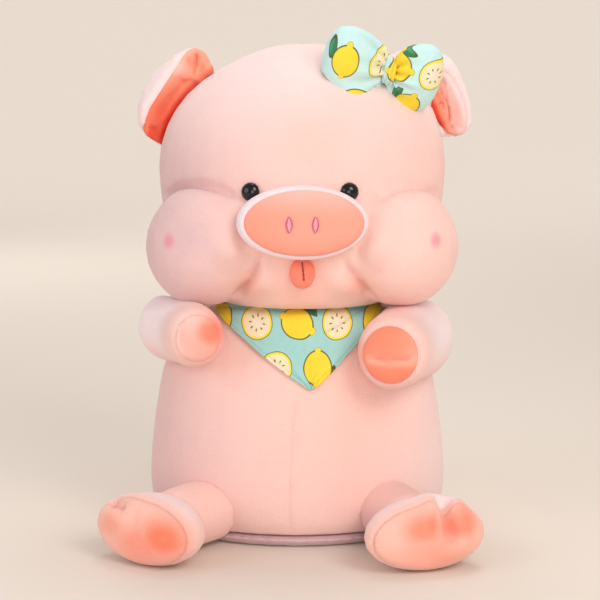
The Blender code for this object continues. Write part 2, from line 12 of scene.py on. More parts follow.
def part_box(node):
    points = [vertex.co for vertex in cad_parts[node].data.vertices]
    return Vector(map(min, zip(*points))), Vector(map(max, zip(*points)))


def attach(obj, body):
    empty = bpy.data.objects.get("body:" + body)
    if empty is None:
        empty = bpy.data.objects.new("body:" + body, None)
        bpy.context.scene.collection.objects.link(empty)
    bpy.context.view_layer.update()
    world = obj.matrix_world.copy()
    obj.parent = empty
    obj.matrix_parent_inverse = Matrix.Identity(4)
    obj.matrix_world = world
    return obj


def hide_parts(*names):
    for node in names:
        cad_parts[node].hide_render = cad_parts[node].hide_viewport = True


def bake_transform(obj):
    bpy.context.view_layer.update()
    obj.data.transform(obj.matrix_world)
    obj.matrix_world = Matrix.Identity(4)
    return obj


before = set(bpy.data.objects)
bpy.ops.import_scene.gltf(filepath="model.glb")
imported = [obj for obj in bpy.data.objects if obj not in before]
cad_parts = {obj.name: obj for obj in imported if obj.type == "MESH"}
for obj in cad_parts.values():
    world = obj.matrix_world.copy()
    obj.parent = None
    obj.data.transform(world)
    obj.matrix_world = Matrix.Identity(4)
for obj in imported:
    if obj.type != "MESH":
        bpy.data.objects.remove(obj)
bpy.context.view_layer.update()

bl_info = {
    "name": "Plush pig",
    "version": (1, 0, 0),
    "blender": (4, 5, 0),
    "location": "3D View > Sidebar > Plush pig",
    "description": "Makes the skins, trims and studio of a seated plush pig over its packed solids",
    "category": "Object",
}

# The photograph's camera; its frame is 600 pixels square
camera_place = (0.0025, -1.5844, 0.4317)
camera_down = math.radians(8)
camera_lens = 101.88
camera_sensor = 36.0
photo_side = 600

# The pig faces -Y, and its own left is at +X
side_sign = {"left": 1, "right": -1}
head_middle = Vector((0.0045, -0.002, 0.325))

# How each skin is made: the remesh's voxel, the rounds of evening, how far inside it starts to swell, the
# most that a point moves, how much the solids grow so that they join, and how far the skin stands out
skins = {
    "body": dict(voxel=0.0040, even=8, start_in=0.0040, cap=0.0050, proud=0.0010),
    "base": dict(voxel=0.0030, even=3),
    "head": dict(voxel=0.0040, even=6, start_in=0.0040, cap=0.0050, grow=0.0006, proud=0.0015),
    "snout": dict(voxel=0.0028, even=5, start_in=0.0010, cap=0.0016, grow=0.0003, proud=0.0003),
    "tongue": dict(voxel=0.0012, even=3, start_in=0.0004, cap=0.0008),
    "ear": dict(voxel=0.0025, even=3, start_in=0.0010, cap=0.0020, proud=0.0010),
    "arm": dict(voxel=0.0035, even=4, start_in=0.0020, cap=0.0028, grow=0.0004),
    "leg": dict(voxel=0.0035, even=4, start_in=0.0015, cap=0.0020),
    "foot": dict(voxel=0.0030, even=3, start_in=0.0016, cap=0.0024, grow=0.0004),
    "bow_lobe": dict(voxel=0.0022, even=3, start_in=0.0008, cap=0.0016),
    "bow_knot": dict(voxel=0.0016, even=3, start_in=0.0004, cap=0.0008),
    "scarf_band": dict(voxel=0.0018, even=2, start_in=0.0003, cap=0.0006),
    "tail": dict(voxel=0.0018, even=3, start_in=0.0006, cap=0.0010),
}
proud_else = 0.0005

# The sewn seams: depth, width, pucker, shade and the shade's width
seams = {
    "body_front": (0.0010, 0.0035, 0.0002, 0.20, 0.0012),
    "body_back": (0.0012, 0.0035, 0.0003, 0.35, 0.0014),
    "base_rim": (0.0008, 0.0015, 0.0002, 0.50, 0.0012),
    "head_back": (0.0011, 0.0030, 0.0003, 0.30, 0.0013),
    "snout_rim": (0.0007, 0.0014, 0.0, 0.15, 0.0010),
    "ear_rim": (0.0012, 0.0020, 0.0003, 0.30, 0.0013),
    "arm_left": (0.0034, 0.0024, 0.0002, 0.40, 0.0012),
    "arm_right": (0.0020, 0.0035, 0.0002, 0.35, 0.0014),
    "pad_rim": (0.0008, 0.0020, 0.0002, 0.25, 0.0012),
    "sole_rim": (0.0011, 0.0020, 0.0003, 0.40, 0.0011),
}


def hue(code):
    """A colour written as six hexadecimal digits, as Blender's linear values."""
    values = []
    for start in (0, 2, 4):
        share = int(code[start:start + 2], 16) / 255
        values.append(share / 12.92 if share <= 0.04045 else ((share + 0.055) / 1.055) ** 2.4)
    return tuple(values)


def colour_property(name, description, code):
    return bpy.props.FloatVectorProperty(
        name=name, description=description, subtype="COLOR", size=3, min=0, max=1, default=hue(code))


def length_property(name, description, metres):
    return bpy.props.FloatProperty(
        name=name, description=description, subtype="DISTANCE", unit="LENGTH", min=0, default=metres,
        precision=4)


class PlushColours(bpy.types.PropertyGroup):
    """The finishes' colours."""
    skin: colour_property("Skin", "Short pile of the body, head and limbs", "FACFC5")
    # Painted shade: the greyish pink that the pile's shaded sides, undersides and lower parts are painted
    # with
    skin_painted_shade: colour_property("Cool skin", "The greyish pink side of the pile", "D2B1B5")
    skin_warm: colour_property("Warm skin", "Peach tint between the cheeks", "FFB59B")
    # Pale pink: the real colour of the ears' backs and the snout's top, and also painted light on the head's
    # top, the body's +X side and the arms' tops
    skin_pale_and_lit: colour_property("Pale skin", "Nearly white pink of the head's top and ears' backs", "FBE6E6")
    # Greyer than the skin: partly the panel's own colour and partly painted shade, standing for the shade
    # under the body's lower edge
    base: colour_property("Base panel", "Mauve panel under the body", "D8B9BD")
    coral: colour_property("Coral", "Airbrushed pads, soles and ear linings", "FF7F5F")
    coral_soft: colour_property("Soft coral", "The edges of the airbrushed coral", "FFA98C")
    coral_deep: colour_property("Deep coral", "Red in the ear's fold", "D42A14")
    snout_rim: colour_property("Snout wall", "The snout's side wall", "FAE3E7")
    snout_face: colour_property("Snout face", "The snout's front", "FBA893")
    blush: colour_property("Blush", "The small cheek spots", "E5829A")
    nostril: colour_property("Nostril thread", "Satin stitches of the nostrils", "FDB4BC")
    nostril_edge: colour_property("Nostril outline", "Outline thread of the nostrils", "D2429C")
    stitch: colour_property("Mouth thread", "The stitched line on the tongue", "A82A1E")
    tongue: colour_property("Tongue", "Pile of the tongue", "FF8C74")
    eye: colour_property("Eye", "Black of the eyes", "07070A")
    bow_cloth: colour_property("Bow cloth", "Ground colour of the bow", "CDF1EE")
    scarf_cloth: colour_property("Scarf cloth", "Ground colour of the scarf", "A6DAD4")
    fruit: colour_property("Fruit", "Yellow of the print", "FFEA48")
    outline: colour_property("Print outline", "Line colour of the print", "5F6037")
    leaf: colour_property("Leaf", "Green of the print", "45A877")
    pith: colour_property("Pith", "Off-white of the print's slices", "F4EBDD")
    floor: colour_property("Floor", "Studio floor and backdrop", "E6DCD0")


class PlushSizes(bpy.types.PropertyGroup):
    """Sizes that a user may change."""
    pile: length_property("Pile", "Size of the pile's tufts", 0.0011)
    print_repeat: length_property("Scarf print repeat", "Distance between the scarf's fruits", 0.0360)
    bow_repeat: length_property("Bow print repeat", "Distance between the bow's fruits", 0.0345)
    thread: length_property("Thread", "Thickness of the embroidery thread", 0.0007)
    pucker_pitch: length_property("Pucker pitch", "Distance between puckers along a seam", 0.0065)
    pressure: bpy.props.FloatProperty(
        name="Stuffing pressure", description="Pressure of the cloth simulation", min=0, default=4.0)


def colours():
    return bpy.context.scene.plush_colours


def sizes():
    return bpy.context.scene.plush_sizes


# Selecting, applying and making objects

def deselect():
    for obj in list(bpy.context.selected_objects):
        obj.select_set(False)


def apply_modifiers(obj):
    deselect()
    obj.select_set(True)
    bpy.context.view_layer.objects.active = obj
    for modifier in list(obj.modifiers):
        bpy.ops.object.modifier_apply(modifier=modifier.name)


def new_object(name, bm):
    mesh = bpy.data.meshes.new(name)
    bm.to_mesh(mesh)
    bm.free()
    obj = bpy.data.objects.new(name, mesh)
    bpy.context.scene.collection.objects.link(obj)
    return obj


def copy_object(obj, name):
    """A copy with its own mesh."""
    copy = obj.copy()
    copy.data = obj.data.copy()
    copy.name = name
    bpy.context.scene.collection.objects.link(copy)
    return copy


# Reading and moving a mesh's points

def points_of(obj):
    flat = np.empty(len(obj.data.vertices) * 3)
    obj.data.vertices.foreach_get("co", flat)
    return flat.reshape(-1, 3)


def normals_of(obj):
    flat = np.empty(len(obj.data.vertices) * 3)
    obj.data.vertex_normals.foreach_get("vector", flat)
    return flat.reshape(-1, 3)


def place_points(obj, points):
    obj.data.vertices.foreach_set("co", np.ascontiguousarray(points, dtype=np.float64).ravel())
    obj.data.update()


def push_out(obj, amount):
    """Moves each point along its normal."""
    place_points(obj, points_of(obj) + normals_of(obj) * np.reshape(amount, (-1, 1)))


def relax(obj, times, share=0.5, back=0.0, weight=None):
    """Evens the surface: points move towards their neighbours' middle, and a share back to keep its size."""
    edges = np.empty(len(obj.data.edges) * 2, dtype=np.int64)
    obj.data.edges.foreach_get("vertices", edges)
    edges = edges.reshape(-1, 2)
    first = np.concatenate([edges[:, 0], edges[:, 1]])
    second = np.concatenate([edges[:, 1], edges[:, 0]])
    points = points_of(obj)
    count = np.maximum(np.bincount(first, minlength=len(points)), 1)[:, None]
    amount = np.ones(len(points)) if weight is None else weight
    for step in range(times):
        for part in (share, -back):
            if part:
                sums = [np.bincount(first, points[second, axis], len(points)) for axis in range(3)]
                points = points + part * (np.stack(sums, 1) / count - points) * amount[:, None]
    place_points(obj, points)


def ramp(values, start, end):
    """0 up to the start and 1 from the end on, smooth between them; the start may be the larger."""
    share = np.clip((values - start) / (end - start), 0, 1)
    return share * share * (3 - 2 * share)


def bell(values, middle, width):
    """1 at the middle, fading to 0 on both sides of it."""
    return np.exp(-((values - middle) / width) ** 2)


def spot(points, middle, radii, hardness=1.0):
    """1 at the middle, fading to 0 at the radii along x, y and z."""
    away = np.linalg.norm((points - np.array(middle)) / np.array(radii), axis=1)
    return ramp((1 - away) * hardness, 0, 1)


def path_distance(points, path):
    """Each point's distance to a path, how far along it the nearest place is, and the path's length."""
    best = np.full(len(points), np.inf)
    along = np.zeros(len(points))
    done = 0.0
    for start, end in zip(path[:-1], path[1:]):
        a, b = np.array(start), np.array(end)
        step = b - a
        length = float(np.linalg.norm(step))
        if length < 1e-7:
            continue
        share = np.clip((points - a) @ step / length ** 2, 0, 1)
        away = np.linalg.norm(points - (a + share[:, None] * step), axis=1)
        nearer = away < best
        best[nearer] = away[nearer]
        along[nearer] = done + share[nearer] * length
        done += length
    return best, along, done


# Painting and seams

def mark(obj, name, values):
    """Keeps the larger of the values painted so far and these."""
    held = obj.data.attributes.get(name)
    values = np.clip(np.broadcast_to(values, len(obj.data.vertices)), 0, 1)
    if held is None:
        held = obj.data.attributes.new(name, "FLOAT", "POINT")
    else:
        before = np.empty(len(values), dtype=np.float32)
        held.data.foreach_get("value", before)
        values = np.maximum(values, before)
    held.data.foreach_set("value", values.astype(np.float32))


def press_seam(obj, path, depth, width, pucker, shade, shade_width, taper=True):
    """Pulls a sewn seam in along a path, with small puckers beside it, and paints its shade."""
    pucker_reach, taper_reach, taper_least = width * 3.2, width * 3, 0.15
    away, along, length = path_distance(points_of(obj), path)
    groove = bell(away, 0, width)
    beside = bell(away, 0, pucker_reach) - groove
    ends = np.clip(np.minimum(along, length - along) / taper_reach, taper_least, 1) if taper else 1.0
    ripple = np.sin(along * 2 * math.pi / sizes().pucker_pitch)
    push_out(obj, -(groove * depth * ends + beside * pucker * ripple * ends))
    mark(obj, "seam", shade * bell(away, 0, shade_width) * ends)


def pixel_ray(column, row):
    """The camera's place and the direction in which it sees a pixel of the photograph."""
    reach = photo_side * camera_lens / camera_sensor
    across = (column - photo_side / 2) / reach
    up = (photo_side / 2 - row) / reach
    forward = Vector((0, math.cos(camera_down), -math.sin(camera_down)))
    upward = Vector((0, math.sin(camera_down), math.cos(camera_down)))
    return Vector(camera_place), (forward + Vector((1, 0, 0)) * across + upward * up).normalized()


def surface_of(obj):
    return BVHTree.FromPolygons(
        [vertex.co for vertex in obj.data.vertices], [tuple(face.vertices) for face in obj.data.polygons])


def on_surface(tree, pixels, step=4.0):
    """The places on a surface under a line of the photograph's pixels."""
    dense = [pixels[0]]
    for (x0, y0), (x1, y1) in zip(pixels[:-1], pixels[1:]):
        count = max(1, round(math.hypot(x1 - x0, y1 - y0) / step))
        dense += [(x0 + (x1 - x0) * i / count, y0 + (y1 - y0) * i / count) for i in range(1, count + 1)]
    hits = [tree.ray_cast(*pixel_ray(*pixel))[0] for pixel in dense]
    return [place for place in hits if place is not None]


def press_line(obj, tree, pixels, *seam, step=4.0):
    """Presses a seam or crease under a line of pixels, and returns that line on the surface."""
    path = on_surface(tree, pixels, step)
    press_seam(obj, path, *seam)
    return path


def airbrush(obj, tree, points, rows):
    """Paints soft spots at pixels: rows of the value's name, pixel, radii, share and hardness."""
    for name, pixel, radii, share, hardness in rows:
        for middle in on_surface(tree, [pixel]):
            mark(obj, name, share * spot(points, middle, radii, hardness))


def slice_path(obj, place, normal, count=72):
    """The closed line in which a plane cuts a piece, as points round the piece's middle."""
    tree = surface_of(obj)
    normal = Vector(normal).normalized()
    side = normal.orthogonal().normalized()
    other = normal.cross(side)
    line = []
    for i in range(count + 1):
        angle = 2 * math.pi * i / count
        direction = side * math.cos(angle) + other * math.sin(angle)
        hit = tree.ray_cast(Vector(place) + direction * 0.5, -direction)[0]
        if hit is not None:
            line.append(hit)
    return line


# Padded pieces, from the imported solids

def merged_copy(name, nodes, grow=0.0):
    """One object with merged copies of these nodes' meshes, each grown a little."""
    whole = bmesh.new()
    for node in nodes:
        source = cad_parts[node]
        mesh = source.data.copy()
        mesh.transform(source.matrix_world)
        part = bmesh.new()
        part.from_mesh(mesh)
        bmesh.ops.remove_doubles(part, verts=part.verts, dist=1e-5)
        part.normal_update()
        moved = [(vertex, vertex.co + vertex.normal * grow) for vertex in part.verts]
        for vertex, place in moved:
            vertex.co = place
        part.to_mesh(mesh)
        part.free()
        whole.from_mesh(mesh)
        bpy.data.meshes.remove(mesh)
    obj = new_object(name, whole)
    obj.data.materials.clear()
    return obj


def largest_only(obj):
    """Removes what a remesh or cut leaves beside the largest connected surface."""
    bm = bmesh.new()
    bm.from_mesh(obj.data)
    groups, seen = [], set()
    for seed in bm.verts:
        if seed in seen:
            continue
        group, waiting = [], [seed]
        seen.add(seed)
        while waiting:
            vertex = waiting.pop()
            group.append(vertex)
            for edge in vertex.link_edges:
                other = edge.other_vert(vertex)
                if other not in seen:
                    seen.add(other)
                    waiting.append(other)
        groups.append(group)
    groups.sort(key=len)
    for group in groups[:-1]:
        bmesh.ops.delete(bm, geom=group, context="VERTS")
    bm.to_mesh(obj.data)
    bm.free()
    obj.data.update()


def remesh(obj, voxel):
    modifier = obj.modifiers.new("remesh", "REMESH")
    modifier.mode = "VOXEL"
    modifier.voxel_size = voxel
    apply_modifiers(obj)
    largest_only(obj)


def stuff(obj, start_in, cap, pins=None, frames=14):
    """Blows a skin up from a slightly smaller shape by a cloth simulation, and caps how far a point moves."""
    normals = normals_of(obj)
    small = points_of(obj) - normals * start_in
    place_points(obj, small)
    cloth = obj.modifiers.new("stuffing", "CLOTH")
    settings = cloth.settings
    settings.quality = 3
    settings.mass = 0.2
    settings.tension_stiffness = 12
    settings.compression_stiffness = 12
    settings.shear_stiffness = 6
    settings.bending_stiffness = 0.6
    settings.use_pressure = True
    settings.uniform_pressure_force = sizes().pressure
    settings.effector_weights.gravity = 0
    cloth.collision_settings.use_collision = False
    if pins is not None and pins.max() > 0.01:
        group = obj.vertex_groups.new(name="pins")
        for index in np.nonzero(pins > 0.02)[0]:
            group.add([int(index)], float(pins[index]), "REPLACE")
        settings.vertex_group_mass = "pins"
    cloth.point_cache.frame_start = 1
    cloth.point_cache.frame_end = frames
    scene = bpy.context.scene
    for number in range(1, frames + 1):
        scene.frame_set(number)
    apply_modifiers(obj)
    scene.frame_set(1)
    obj.vertex_groups.clear()
    moved = points_of(obj) - small
    length = np.linalg.norm(moved, axis=1)
    reach = cap * np.tanh(length / cap) / np.maximum(length, 1e-9)
    place_points(obj, small + moved * reach[:, None])


def subdivide(obj):
    modifier = obj.modifiers.new("fine", "SUBSURF")
    modifier.levels = 1
    modifier.render_levels = 1
    apply_modifiers(obj)


def fit_size(obj, nodes, proud):
    """Brings a skin back to its solids' size on each side, and a little proud of them."""
    boxes = [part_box(node) for node in nodes]
    lowest = np.min([box[0] for box in boxes], axis=0)
    highest = np.max([box[1] for box in boxes], axis=0)
    points = points_of(obj)
    short = np.sort(((highest - lowest) - (points.max(0) - points.min(0))) / 2)[1]
    points = points + normals_of(obj) * short
    low, high = points.min(0), points.max(0)
    wanted_low, wanted_high = lowest - proud, highest + proud
    wanted_low[2] = max(wanted_low[2], 0.0)
    place_points(obj, wanted_low + (points - low) / (high - low) * (wanted_high - wanted_low))


def skin_of(name, nodes, kind, pins=None):
    """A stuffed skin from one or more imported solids, made as its kind says."""
    made = skins[kind]
    grow = made.get("grow", 0.0)
    obj = merged_copy(name, nodes, grow)
    remesh(obj, made["voxel"])
    relax(obj, made["even"], 0.5, 0.52)
    if grow:
        push_out(obj, -grow)
    if "cap" in made:
        stuff(obj, made["start_in"], made["cap"], pins(points_of(obj)) if pins else None)
    relax(obj, 2, 0.4, 0.42)
    fit_size(obj, nodes, made.get("proud", proud_else))
    subdivide(obj)
    return obj


def split_at(obj, place, direction, front_name, half_gap=0.00012):
    """Cuts a skin at a seam's plane into two closed pieces, and returns the front one."""
    direction = Vector(direction).normalized()
    front = copy_object(obj, front_name)
    for piece, sign in ((obj, 1), (front, -1)):
        bm = bmesh.new()
        bm.from_mesh(piece.data)
        cut = bmesh.ops.bisect_plane(
            bm, geom=bm.verts[:] + bm.edges[:] + bm.faces[:], plane_no=direction * sign,
            plane_co=Vector(place) - direction * half_gap * sign, clear_outer=True)
        rim = [item for item in cut["geom_cut"] if isinstance(item, bmesh.types.BMEdge)]
        bmesh.ops.holes_fill(bm, edges=rim)
        bmesh.ops.recalc_face_normals(bm, faces=bm.faces)
        bm.to_mesh(piece.data)
        bm.free()
    return front


def closed_normals(obj):
    bm = bmesh.new()
    bm.from_mesh(obj.data)
    bmesh.ops.recalc_face_normals(bm, faces=bm.faces)
    bm.to_mesh(obj.data)
    bm.free()
    return obj


def finish_piece(obj, material, body, nodes=(), sewn=None):
    """Shades a piece smooth, gives it its finish and hides the solids that it stands for; a piece that isn't
    sewn is parented to its body's empty.

    A sewn piece has its place baked into its mesh and isn't parented. Of sewn, which holds the body that it
    is sewn to and where a bend would start and end, only whether it is given is used; its contents are not
    used.
    """
    obj.data.materials.clear()
    obj.data.materials.append(material)
    for face in obj.data.polygons:
        face.use_smooth = True
    if sewn:
        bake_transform(obj)
    else:
        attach(obj, body)
    if nodes:
        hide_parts(*nodes)


# Materials

class Nodes:
    """Short ways to add nodes to a tree and link them."""

    def __init__(self, tree):
        self.tree = tree

    def add(self, kind, **values):
        node = self.tree.nodes.new(kind)
        for name, value in values.items():
            setattr(node, name, value)
        return node

    def put(self, socket, value):
        if isinstance(value, bpy.types.NodeSocket):
            self.tree.links.new(value, socket)
        elif value is not None:
            held = socket.default_value
            if hasattr(held, "__len__") and len(held) == 4 and len(value) == 3:
                value = (*value, 1)
            socket.default_value = value

    def math(self, operation, *values, clamp=False):
        node = self.add("ShaderNodeMath", operation=operation, use_clamp=clamp)
        for socket, value in zip(node.inputs, values):
            self.put(socket, value)
        return node.outputs[0]

    def plus(self, first, second):
        return self.math("ADD", first, second)

    def minus(self, first, second):
        return self.math("SUBTRACT", first, second)

    def times(self, first, second):
        return self.math("MULTIPLY", first, second)

    def over(self, first, second):
        return self.math("DIVIDE", first, second)

    def scaled(self, value, share, offset):
        """The value times a share, plus an offset."""
        return self.math("MULTIPLY_ADD", value, share, offset)

    def vector(self, operation, first, second=None, scale=None):
        node = self.add("ShaderNodeVectorMath", operation=operation)
        self.put(node.inputs[0], first)
        self.put(node.inputs[1], second)
        if scale is not None:
            self.put(node.inputs["Scale"], scale)
        return node.outputs[0]

    def apart(self, vector):
        node = self.add("ShaderNodeSeparateXYZ")
        self.put(node.inputs[0], vector)
        return node.outputs

    def mix(self, share, first, second):
        node = self.add("ShaderNodeMix", data_type="RGBA", blend_type="MIX", clamp_factor=True)
        self.put(node.inputs["Factor"], share)
        self.put(node.inputs[6], first)
        self.put(node.inputs[7], second)
        return node.outputs[2]

    def band(self, value, low, high):
        """0 below low and 1 above high, smooth between them."""
        node = self.add("ShaderNodeMapRange", interpolation_type="SMOOTHSTEP")
        self.put(node.inputs["Value"], value)
        node.inputs["From Min"].default_value = low
        node.inputs["From Max"].default_value = high
        return node.outputs["Result"]

    def noise(self, vector, scale, detail=2.0, roughness=0.5):
        node = self.add("ShaderNodeTexNoise")
        self.put(node.inputs["Vector"], vector)
        self.put(node.inputs["Scale"], scale)
        node.inputs["Detail"].default_value = detail
        node.inputs["Roughness"].default_value = roughness
        return node.outputs["Fac"]

    def group(self, name, build, **values):
        """A node of this node group, which is built the first time that it is asked for."""
        node = self.add("ShaderNodeGroup", node_tree=bpy.data.node_groups.get(name) or build(name))
        for label, value in values.items():
            self.put(node.inputs[label], value)
        return node.outputs

    def place(self):
        return self.add("ShaderNodeTexCoord").outputs["Object"]

    def painted(self, name):
        return self.add("ShaderNodeAttribute", attribute_name=name).outputs["Fac"]


def new_group(name, inputs, outputs):
    """A shader node group with named sockets, a Nodes over its tree, and its inner sockets."""
    tree = bpy.data.node_groups.new(name, "ShaderNodeTree")
    kinds = {"value": "NodeSocketFloat", "colour": "NodeSocketColor", "vector": "NodeSocketVector"}
    for way, sockets in (("INPUT", inputs), ("OUTPUT", outputs)):
        for label, kind in sockets.items():
            tree.interface.new_socket(label, in_out=way, socket_type=kinds[kind])
    nodes = Nodes(tree)
    return tree, nodes, nodes.add("NodeGroupInput").outputs, nodes.add("NodeGroupOutput").inputs


def build_pile(name):
    """Short plush pile: tufts, their small shadows, the broad drift of the nap, and painted shade where
    seams, creases and folds are marked.
    """
    tree, n, given, wanted = new_group(
        name, {"Vector": "vector", "Colour": "colour", "Tuft": "value", "Seam": "value"},
        {"Colour": "colour", "Height": "value", "Roughness": "value"})
    rate = n.over(1.0, given["Tuft"])
    combed = n.vector("MULTIPLY", given["Vector"], (1.0, 1.0, 0.55))
    tufts = n.add("ShaderNodeTexVoronoi", feature="F1")
    n.put(tufts.inputs["Vector"], combed)
    n.put(tufts.inputs["Scale"], rate)
    fibre = n.noise(combed, n.times(rate, 2.2), 3.0, 0.6)
    drift = n.noise(given["Vector"], 26.0)
    broad = n.noise(given["Vector"], 7.0, 1.0)
    tip = n.minus(1.0, tufts.outputs["Distance"])
    lit = n.scaled(tip, 0.07, 0.955)
    for pattern, strength in ((fibre, 0.06), (drift, 0.06), (broad, 0.05)):
        lit = n.plus(lit, n.times(n.minus(pattern, 0.5), strength))
    shaded = n.vector("SCALE", given["Colour"], scale=lit)
    # Painted shade: darker and redder where seams, creases and folds are marked
    shade_colour = n.vector("MULTIPLY", shaded, (0.66, 0.42, 0.40))
    n.put(wanted["Colour"], n.mix(n.times(given["Seam"], 0.75), shaded, shade_colour))
    height = n.scaled(tip, 0.6, n.times(fibre, 0.5))
    n.put(wanted["Height"], n.minus(height, n.times(given["Seam"], 0.8)))
    n.put(wanted["Roughness"], n.scaled(fibre, 0.12, 0.78))
    return tree


# The print's sizes, as shares of its repeat
fruit_half = (0.40, 0.335)
fruit_tips = ((0.41, (0.080, 0.085)), (-0.41, (0.060, 0.075)))
leaf_middle = (0.20, 0.395)
leaf_half = (0.230, 0.095)
vein_half = 0.007
slice_radii = {"outline": 0.385, "peel": 0.367, "pith": 0.312, "pulp": 0.282}
slice_parts = 8
seed_at, seed_half = 0.165, (0.036, 0.015)


def build_print(name):
    """A plain citrus print: whole fruits with a leaf, and round slices, in rows set half a step apart."""
    tree, n, given, wanted = new_group(
        name, {"Vector": "vector", "Repeat": "value", "Ground": "colour", "Fruit": "colour",
               "Outline": "colour", "Leaf": "colour", "Pith": "colour"},
        {"Colour": "colour"})
    tones = ("Ground", "Fruit", "Outline", "Leaf", "Pith")
    ground, fruit, outline, leaf, pith = (given[tone] for tone in tones)
    place = n.vector("SCALE", given["Vector"], scale=n.over(1.0, given["Repeat"]))
    apart = n.apart(place)
    row = n.math("FLOOR", apart["Y"])
    across = n.scaled(n.math("FLOORED_MODULO", row, 2.0), 0.5, apart["X"])
    column = n.math("FLOOR", across)
    x = n.minus(n.minus(across, column), 0.5)
    y = n.minus(n.minus(apart["Y"], row), 0.5)
    kind = n.math("FLOORED_MODULO", n.plus(column, n.math("FLOOR", n.times(row, 0.5))), 2.0)
    turn = n.scaled(column, 2.39, n.times(row, 1.17))
    cosine, sine = n.math("COSINE", turn), n.math("SINE", turn)
    u = n.plus(n.times(x, cosine), n.times(y, sine))
    v = n.minus(n.times(y, cosine), n.times(x, sine))

    def oval(middle, half, power=2.0):
        """Below 1 inside an oval; a lower power draws its two ends to points."""
        a = n.math("POWER", n.math("ABSOLUTE", n.over(n.minus(u, middle[0]), half[0])), power)
        b = n.math("POWER", n.math("ABSOLUTE", n.over(n.minus(v, middle[1]), half[1])), 2.0)
        return n.plus(a, b)

    def inside(field, limit=1.0, soft=0.05):
        return n.minus(1.0, n.band(field, limit - soft, limit + soft))

    tips = [oval((at, 0.0), half) for at, half in fruit_tips]
    lemon = n.math("MINIMUM", oval((0.0, 0.0), fruit_half), n.math("MINIMUM", *tips))
    sun = n.math("MULTIPLY_ADD", v, 1.0, 0.5, clamp=True)
    pores = n.noise(n.vector("SCALE", place, scale=14.0), 2.4, 1.0)
    peel = n.mix(n.times(sun, 0.55), n.vector("MULTIPLY", fruit, (0.96, 0.86, 0.60)), fruit)
    peel = n.mix(n.times(n.band(pores, 0.6, 0.72), 0.5), peel, n.vector("MULTIPLY", fruit, (1.0, 1.04, 2.2)))
    leaf_field = oval(leaf_middle, leaf_half, 1.25)
    leaf_side = n.band(n.minus(v, leaf_middle[1]), -0.04, 0.05)
    leaf_tone = n.mix(leaf_side, n.vector("MULTIPLY", leaf, (0.45, 0.62, 0.6)), leaf)
    leaf_tone = n.mix(n.math("COMPARE", v, leaf_middle[1], vein_half), leaf_tone, outline)
    whole = ground
    for field, limit, tone in ((leaf_field, 1.25, outline), (leaf_field, 0.82, leaf_tone),
                               (lemon, 1.10, outline), (lemon, 0.93, peel)):
        whole = n.mix(inside(field, limit), whole, tone)

    radius = n.math("SQRT", n.plus(n.times(u, u), n.times(v, v)))
    part = 2 * math.pi / slice_parts
    wedge = n.minus(n.math("FLOORED_MODULO", n.math("ARCTAN2", v, u), part), part / 2)
    from_edge = n.minus(part / 2, n.math("ABSOLUTE", wedge))
    to_edge = n.math("ABSOLUTE", n.times(radius, n.math("SINE", from_edge)))
    seed_out = n.over(n.minus(n.times(radius, n.math("COSINE", wedge)), seed_at), seed_half[0])
    seed_side = n.over(n.times(radius, n.math("SINE", wedge)), seed_half[1])
    seed = n.plus(n.times(seed_out, seed_out), n.times(seed_side, seed_side))
    cut = ground
    for ring, tone in (("outline", outline), ("peel", fruit), ("pith", pith)):
        cut = n.mix(inside(radius, slice_radii[ring], 0.006), cut, tone)
    segment = n.times(inside(radius, slice_radii["pulp"], 0.008), n.band(to_edge, 0.010, 0.018))
    cut = n.mix(segment, cut, n.mix(0.35, pith, fruit))
    cut = n.mix(inside(seed, 1.0, 0.2), cut, outline)
    n.put(wanted["Colour"], n.mix(n.math("GREATER_THAN", kind, 0.5), whole, cut))
    return tree


def build_weave(name):
    """Plain cotton weave: crossing threads, a little uneven."""
    tree, n, given, wanted = new_group(
        name, {"Vector": "vector", "Colour": "colour", "Thread": "value"},
        {"Colour": "colour", "Height": "value"})
    apart = n.apart(n.vector("SCALE", given["Vector"], scale=n.over(math.pi, given["Thread"])))
    warp = n.times(n.math("SINE", apart["X"]), n.math("COSINE", n.times(apart["Y"], 0.5)))
    weft = n.times(n.math("SINE", apart["Y"]), n.math("SINE", n.times(apart["X"], 0.5)))
    threads = n.math("MAXIMUM", n.math("ABSOLUTE", warp), n.math("ABSOLUTE", weft))
    uneven = n.noise(given["Vector"], 240.0)
    lit = n.scaled(threads, 0.07, n.scaled(uneven, 0.08, 0.90))
    n.put(wanted["Colour"], n.vector("SCALE", given["Colour"], scale=lit))
    n.put(wanted["Height"], n.scaled(threads, 0.8, n.times(uneven, 0.3)))
    return tree


def new_material(name, roughness=0.8, sheen=0.0, sheen_roughness=0.5, coat=0.0, specular=0.3):
    """A material with its shader, the constants set on the shader's own sockets."""
    material = bpy.data.materials.new(name)
    material.use_nodes = True
    shader = material.node_tree.nodes["Principled BSDF"]
    constants = {"Roughness": roughness, "Sheen Weight": sheen, "Sheen Roughness": sheen_roughness,
                 "Coat Weight": coat, "Specular IOR Level": specular}
    for socket, value in constants.items():
        shader.inputs[socket].default_value = value
    return material, Nodes(material.node_tree), shader


def bumped(n, shader, height, distance, strength):
    bump = n.add("ShaderNodeBump")
    bump.inputs["Strength"].default_value = strength
    bump.inputs["Distance"].default_value = distance
    n.put(bump.inputs["Height"], height)
    n.put(shader.inputs["Normal"], bump.outputs["Normal"])


def built_once(build):
    """Gives the material of a name that is there already, and otherwise builds it."""
    def ask(name, *values):
        return bpy.data.materials.get(name) or build(name, *values)
    return ask


